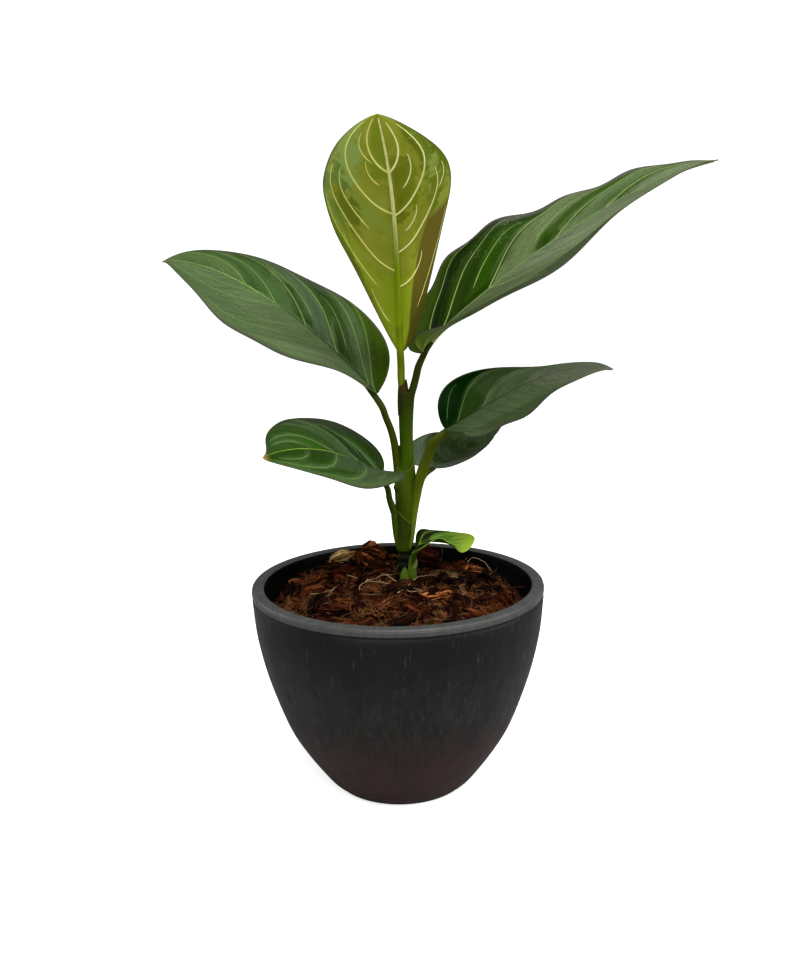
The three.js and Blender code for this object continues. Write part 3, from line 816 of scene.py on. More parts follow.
@dataclass(frozen=True)
class BladeFinish:
    """One face of a blade: a ground colour, a paler one in bands along the veins, zones and the edge."""

    name: str
    ground: Colour
    # On the dark leaves' upper faces this paler grey-green is partly the leaf's silver variegation and partly
    # painted sheen.
    silver: Colour
    halo: Colour
    edge: Colour
    tip: Colour
    pattern: Variegation
    zones: tuple[Zone, ...] = ()
    streaks: float = 0.22
    halo_share: float = 0.35
    roughness: float = 0.42
    specular: float = 0.1
    tip_from: float = 0.93

    def build(self, effects: Effects) -> Material:
        """Makes the material from the shared effects."""
        paint = BladePaint(self.name, effects, self.roughness, self.specular)
        vein = paint.veined["Height"]
        silver = self._silver(paint)
        paint.ground(silver, self.ground, self.silver)
        shifted = paint.plus(paint.flow, paint.times(paint.minus(vein, 0.5), 0.16))
        paint.lay_zones(self.zones, shifted, paint.across)
        paint.lay(paint.times(paint.near_vein, self.halo_share), self.halo)
        # Light and dark streaks along the veins' grain: partly the blade's own texture, partly painted sheen
        # on the quilting.
        paint.shade(paint.ease(vein, 0.36, 0.64, 1 - self.streaks, 1 + self.streaks))
        paint.shade(paint.ease(paint.patches(paint.spot, 1.3, 0.5, 0.25), 0.0, 1.0, 0.88, 1.1))
        paint.lay(paint.ease(paint.along, self.tip_from, 1.0), self.tip)
        sheen = paint.times(paint.plus(silver, paint.veined["Shade"]), 0.05)
        return paint.finish_skin(paint.plus(sheen, self.roughness - 0.04), self.edge, 0.985)

    def _silver(self, paint: BladePaint) -> Socket:
        """Works out the share of the paler colour."""
        pattern = self.pattern
        cover = paint.ease(paint.across, -0.06, 0.06, pattern.right, pattern.left)
        grown = paint.times(cover, paint.ease(paint.along, *pattern.start))
        bands = paint.patches(paint.stretch(paint.drawn, (pattern.bands, 1.3, 1.0)), 1.0, grown, 0.05)
        mottle = paint.patches(paint.spot, 0.5, 0.62, 0.2)
        return paint.times(bands, paint.plus(mottle, 0.55), clamp=True)


@dataclass(frozen=True)
class PaleUnderFinish:
    """The pale underside of the top leaf: dark blotches with stepped borders, and painted shade beyond the
    fold.
    """

    name: str
    ground: Colour
    streak: Colour
    blotch: Colour
    rib_green: Colour
    fold_shade: Colour
    rust: Colour
    edge: Colour
    zones: tuple[Zone, ...]
    roughness: float = 0.5
    specular: float = 0.06

    def build(self, effects: Effects) -> Material:
        """Makes the material from the shared effects."""
        paint = BladePaint(self.name, effects, self.roughness, self.specular)
        across, along = paint.across, paint.along
        out = paint.math("ABSOLUTE", across)
        cloud = paint.patches(paint.spot, 0.12, 0.5, 0.2)
        paint.ground(paint.times(paint.plus(paint.veined["Shade"], cloud), 0.5), self.ground, self.streak)
        shift = paint.times(paint.minus(paint.blocks(0.3, 0.5, 0.5), 0.5), 0.05)
        stepped = paint.plus(across, paint.times(shift, 1.6))
        paint.lay_zones(self.zones, paint.plus(paint.flow, shift), stepped)
        outward = paint.times(paint.ease(out, 0.45, 0.95), paint.ease(along, 0.3, 0.6))
        blocks = paint.blocks(0.14, 0.42, paint.plus(paint.times(outward, 0.24), 0.2))
        fine = paint.patches(paint.spot, 0.6, 0.6, 0.3)
        shown = paint.times(blocks, paint.plus(fine, 0.3), clamp=True)
        paint.lay(shown, self.blotch)
        near_rib = paint.times(paint.ease(out, 0.3, 0.02), paint.ease(along, 0.6, 0.1))
        paint.lay(paint.times(near_rib, 0.75), self.rib_green)
        paint.lay(paint.times(paint.near_vein, 0.3), self.streak)
        self._lay_fold_shade_and_rust(paint)
        wear = paint.times(paint.plus(shown, paint.veined["Shade"]), 0.05)
        return paint.finish_skin(paint.minus(self.roughness + 0.05, wear), self.edge, 0.99)

    def _lay_fold_shade_and_rust(self, paint: BladePaint) -> None:
        """Paints shade on the band beyond the fold on the lower right, and browns the lower left margin."""
        off = paint.minus(paint.along, 0.22)
        bend = paint.times(paint.times(off, off), 2.8)
        beyond = paint.minus(paint.across, paint.plus(bend, 0.24))
        # Painted shade: the band beyond the fold, which faces away from the light.
        paint.lay(paint.times(paint.ease(beyond, 0.0, 0.03), paint.ease(paint.along, 0.56, 0.5)), self.fold_shade)
        left = paint.times(paint.ease(paint.across, -0.5, -0.85), paint.ease(paint.along, 0.26, 0.1))
        paint.lay(paint.times(left, 0.8), self.rust)


@dataclass(frozen=True)
class VeinFinish:
    """Veins and midribs, from one colour at the leaf's base to another at its tip."""

    name: str
    base: Colour
    tip: Colour
    turn: tuple[float, float] = (0.2, 0.8)
    right: Colour | None = None

    def build(self, effects: Effects) -> Material:
        """Makes the material from the shared effects."""
        paint = Paint(self.name, effects, 0.5, 0.06)
        side, along = paint.split(paint.uv("flow"))[0:2]
        grain = paint.grain(paint.place(), (1.0, 1.0, 1.0), 0.8)
        paint.ground(paint.ease(along, *self.turn), self.base, self.tip)
        paint.lay(paint.math("LESS_THAN", side, -0.5), self.right or self.base)
        paint.lay(paint.times(grain["Shade"], 0.3), self.base)
        return paint.finish(paint.ease(grain["Shade"], 0.0, 1.0, 0.4, 0.52), grain["Height"], 0.2, 0.05)


@dataclass(frozen=True)
class FloorFinish:
    """A plain pale sweep. It looks bright, and throws back less light than it shows."""

    shade: Colour
    bounce: Colour
    glow: float

    def build(self, effects: Effects) -> Material:
        """Makes the material from the shared effects."""
        paint = Paint("studio_floor", effects, 0.9, 0.05)
        paler = tuple(min(255, value + 3) for value in self.shade)
        paint.ground(paint.patches(paint.place(), 0.004, 0.5, 0.4), self.shade, paler)
        seen = paint.add("ShaderNodeLightPath", {}).outputs["Is Camera Ray"]
        black, white = linear((0, 0, 0)), linear((255, 255, 255))
        inputs = paint.shader.inputs
        paint.feed(inputs["Base Color"], paint.mix(seen, linear(self.bounce), paint.colour))
        paint.feed(inputs["Emission Color"], paint.mix(seen, black, white))
        inputs["Emission Strength"].default_value = self.glow
        return paint.material


# ---------------------------------------------------------------- pot
@dataclass(frozen=True)
class Pot:
    """The round pot: a bellied wall, a step under a square lip, and drain holes in the floor."""

    height: float = 72.0
    rim_radius: float = 50.0
    rim_inner_radius: float = 45.9
    rim_face: float = 2.6
    base_radius: float = 22.4
    base_thickness: float = 2.8
    wall: float = 2.4
    segments: int = 160
    wall_steps: int = 46
    drain_count: int = 5
    drain_radius: float = 3.2
    drain_ring: float = 13.0
    drain_sides: int = 24
    lip_steps: int = 3
    foot_steps: int = 7
    outline: tuple[tuple[float, float], ...] = (
        (24, 1), (26.4, 3.2), (30, 8), (34.1, 14), (38.7, 22), (42.6, 32), (46.3, 44), (48.8, 56),
        (49.9, 67.6),
    )

    def inner_radius(self, height: float) -> float:
        """Gives the inside radius at a height."""
        radii, heights = zip(*self.outline)
        return float(np.interp(height, heights, radii)) - self.wall

    def profile(self) -> list[tuple[float, float]]:
        """Gives the section from the middle of the underside, up, over the lip and back inside."""
        foot = self.height - self.rim_face
        wall = smooth_route(self.outline, self.wall_steps)
        inside = [(self.inner_radius(z), z) for z in np.linspace(foot - 3, 5, 26)]
        return [
            (self.drain_ring + 6, 0), (self.base_radius - 0.6, 0), (self.base_radius, 0.05),
            (self.base_radius + 1, 0.4), *[(float(r), float(z)) for r, z in wall], (49.75, foot - 1.1),
            (49.6, foot - 0.7), (49.55, foot - 0.3), (49.65, foot - 0.05),
            (self.rim_radius - 0.08, foot + 0.15), (self.rim_radius, foot + 0.5),
            (self.rim_radius, self.height - 1.05), (self.rim_radius - 0.1, self.height - 0.95),
            (self.rim_radius - 0.1, self.height - 0.8), (self.rim_radius - 0.16, self.height - 0.5),
            (self.rim_radius - 0.4, self.height - 0.2), (self.rim_radius - 0.9, self.height - 0.04),
            (self.rim_radius - 1.4, self.height), (self.rim_inner_radius + 0.9, self.height),
            (self.rim_inner_radius + 0.35, self.height - 0.1),
            (self.rim_inner_radius, self.height - 0.45), (self.rim_inner_radius, foot),
            (self.rim_inner_radius + 0.3, foot - 0.8), *inside,
            (self.inner_radius(5) - 2.6, self.base_thickness), (self.drain_ring + 6, self.base_thickness),
        ]

    def build(self, wall: Material, rim: Material, inside: Material) -> None:
        """Makes the pot and lets it stand for the CAD pot.

        Args:
            wall: the outer wall's material.
            rim: the lip's material.
            inside: the inner wall's material.
        """
        draft = MeshDraft()
        profile = np.array(self.profile())
        surface = grid_places(np.linspace(0, 1, self.segments + 1), length_along(profile) / CENTIMETRE)
        numbers = draft.add_grid(lathe(profile, self.segments), surface, 0, wrap=True)
        lip_top = int(np.argmax(profile[:, 1] >= self.height))
        finish = np.zeros(len(profile) - 1, int)
        finish[self.foot_steps + self.wall_steps :] = 1
        finish[lip_top + self.lip_steps :] = 2
        draft.finishes[0] = np.repeat(finish, self.segments)
        low_holes = self._floor(draft, numbers[0], 0.0, flip=True)
        high_holes = self._floor(draft, numbers[-1], self.base_thickness, flip=False)
        for low, high in zip(low_holes, high_holes):
            quads = np.stack([low, high, np.roll(high, -1), np.roll(low, -1)], axis=1)
            draft.add_faces(quads, np.zeros((len(low), 4, 2)), 0)
        hand_over(draft.build("pot_wall", [wall, rim, inside], 40), ["pot"])

    def _floor(self, draft: MeshDraft, ring: np.ndarray, height: float, flip: bool) -> list[np.ndarray]:
        """Fills the floor inside a ring, round the drain holes.

        Args:
            draft: the pot's draft.
            ring: the numbers of the ring that bounds the floor.
            height: the floor's height.
            flip: True for the underside.

        Returns:
            The numbers of the points round each drain hole.
        """
        angles = full_turn(self.drain_sides)
        holes = []
        for middle_x, middle_y in self._drains():
            x = middle_x + self.drain_radius * np.cos(angles)
            y = middle_y + self.drain_radius * np.sin(angles)
            holes.append(draft.add_points(np.stack([x, y, np.full(len(x), height)], axis=1)))
        points = np.concatenate(draft.points)
        loops = [ring, *holes]
        flat = [Vector(points[number][:2]) for loop in loops for number in loop]
        numbers = np.concatenate(loops)
        edges, start = [], 0
        for loop in loops:
            count = len(loop)
            edges += [(start + k, start + (k + 1) % count) for k in range(count)]
            start += count
        _, _, triangles, _, _, _ = delaunay_2d_cdt(flat, edges, [], 0, 1e-6)
        kept = []
        for triangle in triangles:
            middle = sum((flat[k] for k in triangle), Vector((0.0, 0.0))) / 3
            if not self._in_drain(middle):
                kept.append(triangle[::-1] if flip else triangle)
        faces = numbers[np.array(kept)]
        draft.add_faces(faces, points[faces][..., :2] / CENTIMETRE, 0 if flip else 2)
        return holes

    def _drains(self) -> list[tuple[float, float]]:
        """Gives the middles of the drain holes."""
        angles = np.arange(self.drain_count) * 2 * math.pi / self.drain_count
        return [(self.drain_ring * math.cos(angle), self.drain_ring * math.sin(angle)) for angle in angles]

    def _in_drain(self, place: Vector) -> bool:
        """Says whether a place on the floor is in a drain hole."""
        near = self.drain_radius * 0.99
        return any((place - Vector(middle)).length < near for middle in self._drains())


# ---------------------------------------------------------------- studio
@dataclass(frozen=True)
class Studio:
    """The camera, the pale sweep and the soft lights."""

    camera_place: Point = (1.33, -347.04, 180.55)
    camera_pitch: float = 11.93
    camera_roll: float = -0.96
    focal_length: float = 39.375
    sweep_flat: float = 1300.0
    sweep_bend: float = 500.0
    sweep_wall: float = 1000.0
    sweep_sides: int = 96

    def build_camera(self) -> None:
        """Places the camera where it looks down a little on the pot."""
        pitch, roll = math.radians(self.camera_pitch), math.radians(self.camera_roll)
        forward = Vector((0, math.cos(pitch), -math.sin(pitch)))
        right = Vector((1, 0, 0))
        up = right.cross(forward)
        tilted_right = right * math.cos(roll) + up * math.sin(roll)
        tilted_up = up * math.cos(roll) - right * math.sin(roll)
        data = bpy.data.cameras.new("camera")
        data.lens = self.focal_length
        data.sensor_width = 36.0
        data.clip_start = 0.01
        data.clip_end = 20.0
        camera = bpy.data.objects.new("camera", data)
        turn = Matrix((tilted_right, tilted_up, -forward)).transposed()
        camera.matrix_world = Matrix.Translation(Vector(self.camera_place) * METRES) @ turn.to_4x4()
        bpy.context.scene.collection.objects.link(camera)
        bpy.context.scene.camera = camera

    def build_sweep(self, finish: Material) -> None:
        """Makes the floor, which curves up into a wall all round."""
        flat, bend = self.sweep_flat, self.sweep_bend
        angles = np.linspace(0, math.pi / 2, 14)
        curve = [(flat + bend * math.sin(angle), bend * (1 - math.cos(angle))) for angle in angles]
        profile = np.array([(200.0, 0.0), (700.0, 0.0), *curve, (flat + bend, self.sweep_wall)])
        rings = lathe(profile, self.sweep_sides)
        surface = np.zeros((len(profile), self.sweep_sides + 1, 2))
        draft = MeshDraft()
        numbers = draft.add_grid(rings, surface, 0, wrap=True, flip=True)
        draft.add_cap(numbers[0], rings[0], 0)
        sweep = draft.build("studio_sweep", [finish])

    @staticmethod
    def area_light(name: str, place: Point, aim: Point, size: float, power: float) -> None:
        """Adds a square soft white light.

        Args:
            name: the light's name.
            place: where it hangs, in millimetres.
            aim: what it points at.
            size: the length of its side.
            power: its power in watts.
        """
        data = bpy.data.lights.new(name, "AREA")
        data.shape = "SQUARE"
        data.size = size * METRES
        data.energy = power
        light = bpy.data.objects.new(name, data)
        light.location = Vector(place) * METRES
        toward = (Vector(aim) - Vector(place)).normalized()
        light.rotation_mode = "QUATERNION"
        light.rotation_quaternion = toward.to_track_quat("-Z", "Y")
        bpy.context.scene.collection.objects.link(light)

    def build_light(self) -> None:
        """Hangs the lights and sets an even pale world."""
        middle = (0.0, 0.0, 110.0)
        self.area_light("ceiling_light", (200.0, -650.0, 1050.0), middle, 900.0, 22.0)
        self.area_light("window_light", (1000.0, -200.0, 450.0), middle, 600.0, 7.0)
        self.area_light("left_light", (-950.0, 300.0, 450.0), middle, 600.0, 4.5)
        self.area_light("front_light", (-300.0, -1000.0, 300.0), middle, 900.0, 5.0)
        world = bpy.data.worlds.new("studio_air")
        world.use_nodes = True
        background = world.node_tree.nodes["Background"]
        background.inputs["Color"].default_value = (1.0, 1.0, 1.0, 1.0)
        background.inputs["Strength"].default_value = 0.3
        bpy.context.scene.world = world
        bpy.context.scene.view_settings.view_transform = "Standard"


# ---------------------------------------------------------------- leaves
@dataclass(frozen=True)
class Vein:
    """A side vein: where it leaves the midrib and ends, how far out it gets, and the share it skips."""

    start: float
    end: float
    reach: float
    strength: float = 1.0
    skip: float = 0.0

    def across(self, run: np.ndarray, bow: float) -> np.ndarray:
        """Gives how far out the vein is at each share of its run."""
        return self.reach * (1 - (1 - run) ** bow)


@dataclass(frozen=True)
class Half:
    """One half of a blade, from the midrib to its margin."""

    width: float
    wave: Triple
    lobe: float
    bow: float
    veins: tuple[Vein, ...]
    ripple: Triple = (0, 0, 0)


@dataclass(frozen=True)
class LeafForm:
    """The form of one leaf, as its solid has it: see the fields' names."""

    node: str
    slot: Slot
    midrib: tuple[Point, Point, Point, Point]
    half_width: float
    base_fullness: float
    tip_fullness: float
    roll: Triple
    fold: Triple
    curl: Triple
    left: Half
    right: Half
    stalk: tuple[tuple[float, float, float, float], ...]
    face_towards: Point = (0, 0, 1)
    rib_width: float = 1.0
    vein_width: float = 0.44
    quilting: float = 0.28
    rib_sunk: float = 0.82
    rib_line: float = 0.9

    def halves(self) -> tuple[tuple[Half, int], ...]:
        """Gives both halves, each with the sign of its side."""
        return ((self.right, -1), (self.left, 1))


@dataclass(frozen=True)
class LeafLook:
    """The materials of one leaf, one for each kind of its skin."""

    upper: Material
    under: Material
    upper_vein: Material
    under_vein: Material
    stalk: Material
    midrib: Material
    under_rib: Material


class Leaf:
    """A blade of two faces with a midrib, side veins and a stalk."""

    rows = 150
    strips = 30
    thickness = 0.42
    edge_thinning = 0.62
    quilt_reach = 1.1
    vein_points = 44
    vein_height = 0.24
    under_vein_height = 0.34
    faint_vein_start = 0.22
    midrib_points = 90
    midrib_height = 0.08
    rib_points = 72
    rib_sides = 16
    rib_tip_radius = 0.16
    rib_join = 0.16
    stalk_steps = 6

    def __init__(self, form: LeafForm, look: LeafLook) -> None:
        """Works out the blade's surfaces.

        Args:
            form: the leaf's form.
            look: its materials.
        """
        self.form = form
        self.look = look
        share = np.linspace(0, 1, self.rows + 1)
        self.along = share**1.5 * (1 - share) + (1 - (1 - share) ** 1.3) * share
        self.out = np.linspace(0, 1, self.strips + 1) ** 1.35
        self.across = np.concatenate([-self.out[:0:-1], self.out])
        self.width = self._widths(self.along)
        self.middle = self._middle_surface()
        self.upper, self.under = self._faces()

    def _bezier(self, t: np.ndarray) -> tuple[np.ndarray, np.ndarray]:
        """Gives points and directions along the midrib."""
        p0, p1, p2, p3 = (np.array(point, float) for point in self.form.midrib)
        t = t[:, None]
        points = (1 - t) ** 3 * p0 + 3 * (1 - t) ** 2 * t * p1 + 3 * (1 - t) * t**2 * p2 + t**3 * p3
        slopes = 3 * (1 - t) ** 2 * (p1 - p0) + 6 * (1 - t) * t * (p2 - p1) + 3 * t**2 * (p3 - p2)
        return points, unit(slopes)

    def _widths(self, t: np.ndarray) -> np.ndarray:
        """Gives the blade's half width along the midrib."""
        base, tip = self.form.base_fullness, self.form.tip_fullness
        widest = base / (base + tip)
        inside = np.clip(t, 1e-4, 1 - 1e-4)
        width = self.form.half_width * (inside / widest) ** base * ((1 - inside) / (1 - widest)) ** tip
        return np.maximum(width, np.where(t < 0.5, 1.2, 0.22))

    def _axes(self) -> tuple[np.ndarray, np.ndarray, np.ndarray, np.ndarray]:
        """Gives the midrib's points with its forward, sideways and upward directions."""
        points, forward = self._bezier(self.along)
        sideways = unit(np.cross(np.array(self.form.face_towards, float), forward))
        return points, forward, sideways, np.cross(forward, sideways)

    def _middle_surface(self) -> np.ndarray:
        """Walks from the midrib to both margins and gives the middle surface, right margin first."""
        form = self.form
        points, forward, sideways, upward = self._axes()
        t = self.along
        fold, roll, curl = (through_three(values, t)[:, None] for values in (form.fold, form.roll, form.curl))
        steps = np.diff(self.out)[None, :]
        between = ((self.out[1:] + self.out[:-1]) / 2)[None, :]
        share = self.out[None, :]
        sweep = 2 * (1 - t) ** 4 * np.minimum(1, self.width / form.half_width)
        none = np.zeros((len(t), 1))
        halves = []
        for half, sign in form.halves():
            tilt = np.radians(fold * np.minimum(1, between / 0.3) + sign * roll + curl * (2 * between - 1))
            length = self.width[:, None] * half.width * steps
            side = np.concatenate([none, np.cumsum(sign * np.cos(tilt) * length, axis=1)], axis=1)
            lift = np.concatenate([none, np.cumsum(np.sin(tilt) * length, axis=1)], axis=1)
            height, count, phase = half.wave
            wave = height * np.sin(2 * math.pi * count * t + phase) * np.sin(math.pi * t)
            crimp, crimps, shift = half.ripple
            ripple = crimp * np.sin(2 * math.pi * crimps * t + shift) * np.sin(math.pi * t)
            lift = lift + wave[:, None] * share**2 + ripple[:, None] * share**3
            back = half.lobe * sweep[:, None] * share**2
            surface = points[:, None] + side[..., None] * sideways[:, None]
            surface = surface + lift[..., None] * upward[:, None] - back[..., None] * forward[:, None]
            halves.append(surface)
        right, left = halves
        return np.concatenate([right[:, :0:-1], left], axis=1)

    def normals(self, surface: np.ndarray) -> np.ndarray:
        """Gives the upward normals of a surface grid."""
        return unit(np.cross(np.gradient(surface, axis=0), np.gradient(surface, axis=1)))

    def _quilt(self) -> np.ndarray:
        """Gives how near each point is to a strong vein, 1 on it and 0 away from it."""
        field = np.zeros(self.middle.shape[:2])
        t = self.along[:, None]
        for half, sign in self.form.halves():
            for vein in half.veins:
                run = np.clip((t - vein.start) / (vein.end - vein.start), 0, 1)
                at = sign * vein.across(run, half.bow)
                apart = (self.across[None, :] - at) * self.width[:, None] * half.width
                inside = (t > vein.start - 0.01) & (t < vein.end)
                fade = np.clip((1 - run) * 5, 0, 1) * np.clip(run * 8, 0, 1) * vein.strength
                near = np.exp(-((apart / self.quilt_reach) ** 2)) * fade * inside
                field = np.maximum(field, near)
        return field

    def _faces(self) -> tuple[np.ndarray, np.ndarray]:
        """Gives the upper and the under face, quilted between the veins and rounded at the margin."""
        form = self.form
        normal = self.normals(self.middle)
        quilt = self._quilt() * form.quilting
        taper = (1 - self.along[:, None]) ** 0.6
        off_rib = np.abs(self.across)[None, :] * self.width[:, None]
        groove = 0.3 * form.rib_width * taper * np.exp(-((off_rib / (0.55 * form.rib_width)) ** 2))
        base = self.middle - normal * quilt[..., None]
        half = self.thickness / 2 * (1 - self.edge_thinning * np.abs(self.across)[None, :] ** 8)
        half = half * np.ones_like(quilt)
        return base + normal * (half - groove)[..., None], base - normal * half[..., None]

    def _flow(self) -> np.ndarray:
        """Gives a value that stays the same along the side veins, and how near a vein each point is."""
        flow = np.zeros((*self.middle.shape[:2], 2))
        t = self.along[:, None]
        for half, columns in ((self.form.right, self.across < 0), (self.form.left, self.across >= 0)):
            strong = [vein for vein in half.veins if vein.strength >= 1] or [Vein(0.2, 0.55, 0.9)]
            span = float(np.mean([vein.end - vein.start for vein in strong]))
            out = np.minimum(np.abs(self.across[columns])[None, :] / 0.95, 0.999)
            flow[:, columns, 0] = t - span * (1 - (1 - out) ** (1 / half.bow))
        flow[..., 1] = self._quilt()
        return flow

    def _add_blade(self, draft: MeshDraft) -> None:
        """Adds both faces and the margin between them."""
        surface, flow = grid_places(self.across, self.along), self._flow()
        top = draft.add_grid(self.upper, surface, Skin.UPPER, flip=True, flow=flow)
        low = draft.add_grid(self.under, surface, Skin.UNDER, flow=flow)
        strips = (
            (top[:-1, 0], low[:-1, 0], low[1:, 0], top[1:, 0], surface[:-1, 0]),
            (top[:-1, -1], top[1:, -1], low[1:, -1], low[:-1, -1], surface[:-1, -1]),
            (top[0, :-1], top[0, 1:], low[0, 1:], low[0, :-1], surface[0, :-1]),
            (top[-1, :-1], low[-1, :-1], low[-1, 1:], top[-1, 1:], surface[-1, :-1]),
        )
        for *corners, place in strips:
            quads = np.stack(corners, axis=1)
            draft.add_faces(quads, np.stack([place] * 4, axis=1), Skin.UPPER)

    def _sample(self, grid: np.ndarray, t: np.ndarray, across: np.ndarray) -> np.ndarray:
        """Reads a grid between its points.

        Args:
            grid: rows by columns by 3.
            t: places along the midrib.
            across: places from -1 to 1 across the blade.

        Returns:
            One row for each place.
        """
        row = np.interp(t, self.along, np.arange(len(self.along)))
        column = np.interp(across, self.across, np.arange(len(self.across)))
        i = np.minimum(row.astype(int), grid.shape[0] - 2)
        j = np.minimum(column.astype(int), grid.shape[1] - 2)
        u, v = (row - i)[:, None], (column - j)[:, None]
        near = grid[i, j] * (1 - v) + grid[i, j + 1] * v
        far = grid[i + 1, j] * (1 - v) + grid[i + 1, j + 1] * v
        return near * (1 - u) + far * u

    def _add_strand(
        self, draft: MeshDraft, t: np.ndarray, across: np.ndarray, widths: np.ndarray, face: Face,
        finish: int, proud: float,
    ) -> None:
        """Lays a thin closed strand on a face of the blade.

        Args:
            draft: the leaf's draft.
            t: places along the midrib.
            across: places across the blade.
            widths: the strand's width at each place.
            face: the face that it lies on.
            finish: which of the leaf's materials it takes.
            proud: its height over the face, as a share of its width.
        """
        grid = self.upper if face is Face.UPPER else self.under
        normals = self.normals(grid) * face.value
        route = self._sample(grid, t, across)
        out = unit(self._sample(normals, t, across))
        forward = unit(np.gradient(route, axis=0))
        side = unit(np.cross(out, forward))
        section = ((0.0, -0.5), (0.5, -0.1), (0.3, 0.75), (0.0, 1.0), (-0.3, 0.75), (-0.5, -0.1))
        corners = [
            route + side * (a * widths)[:, None] + out * (h * proud * widths)[:, None] for a, h in section
        ]
        rings = np.stack(corners, axis=1)
        surface = np.zeros((len(t), len(section) + 1, 2))
        surface[..., 0] = np.linspace(0, 1, len(section) + 1)[None, :]
        surface[..., 1] = t[:, None]
        flow = surface.copy()
        flow[..., 0] = np.sign(across[-1])
        numbers = draft.add_grid(rings, surface, finish, wrap=True, flow=flow)
        draft.add_cap(numbers[0], rings[0], finish, flip=True)
        draft.add_cap(numbers[-1], rings[-1], finish)

    def _add_veins(self, draft: MeshDraft) -> None:
        """Lays the side veins and the midrib on both faces."""
        run = np.linspace(0, 1, self.vein_points)
        kinds = (
            (Face.UPPER, Skin.UPPER_VEIN, self.vein_height),
            (Face.UNDER, Skin.UNDER_VEIN, self.under_vein_height),
        )
        for face, finish, proud in kinds:
            for half, sign in self.form.halves():
                for vein in half.veins:
                    first = vein.skip if vein.strength >= 1 else max(vein.skip, self.faint_vein_start)
                    places = first + (1 - first) * run
                    t = vein.start + (vein.end - vein.start) * places
                    across = sign * vein.across(places, half.bow)
                    narrowing = 0.24 + 0.76 * (1 - run) ** 0.6
                    if vein.strength < 1:
                        narrowing = narrowing * np.minimum(1, 0.35 + run * 6)
                    widths = self.form.vein_width * (0.45 + 0.55 * vein.strength) * narrowing
                    self._add_strand(draft, t, across, widths, face, finish, proud)
        t = np.linspace(0.004, 0.985, self.midrib_points)
        widths = self.form.rib_line * self.form.rib_width * (0.22 + 0.78 * (1 - t) ** 0.9)
        self._add_strand(draft, t, np.zeros_like(t), widths, Face.UPPER, Skin.MIDRIB, self.midrib_height)
        self._add_under_rib(draft)

    def _add_under_rib(self, draft: MeshDraft) -> None:
        """Runs the stalk on under the blade as its midrib, down to the stem."""
        form = self.form
        t = np.linspace(0.03, 0.988, self.rib_points)
        rib = self._sample(self.under, t, np.zeros_like(t))
        down = -unit(self._sample(self.normals(self.under), t, np.zeros_like(t)))
        first, thinnest = form.stalk[0][3], self.rib_tip_radius
        radii = thinnest + (0.68 * form.rib_width - thinnest) * (1 - t) ** 0.8
        run = t / self.rib_join
        radii = np.maximum(radii, (first * 1.02) * np.clip(1 - run, 0, 1) + radii * np.clip(run, 0, 1))
        middle = rib + down * (radii * form.rib_sunk)[:, None]
        on_blade = np.concatenate([middle, radii[:, None]], axis=1)
        stations = [*reversed(form.stalk), tuple(on_blade[2])]
        stem_side = smooth_route(stations, self.stalk_steps * len(form.stalk) + 1)
        whole = np.concatenate([stem_side[:-1], on_blade[2:]])
        rings = tube_rings(whole[:, :3], whole[:, 3], self.rib_sides)
        numbers = draft.add_points(rings)
        looped = np.concatenate([numbers, numbers[:, :1]], axis=1)
        stalk_rings = len(stem_side) - 1
        share = np.concatenate([np.full(stalk_rings, -0.02), t[2:]])
        around = np.linspace(0, 1, self.rib_sides + 1)
        surface = grid_places(around, length_along(whole[:, :3]) / CENTIMETRE)
        flow = grid_places(around, share)
        turn = stalk_rings + 5
        for low, high, finish in ((0, turn, Skin.STALK), (turn, len(whole) - 1, Skin.UNDER_RIB)):
            picks, places, flows = (quad_corners(grid[low : high + 1]) for grid in (looped, surface, flow))
            draft.add_faces(picks, places, finish, flows)
        draft.add_cap(numbers[0], rings[0], Skin.STALK, flip=True)
        draft.add_cap(numbers[-1], rings[-1], Skin.UNDER_RIB)

    def build(self) -> None:
        """Makes the leaf and lets it stand for its solid."""
        draft = MeshDraft()
        self._add_blade(draft)
        self._add_veins(draft)
        materials = [getattr(self.look, skin.name.lower()) for skin in Skin]
        hand_over(draft.build(f"{self.form.node}_blade", materials, 55), [self.form.node])


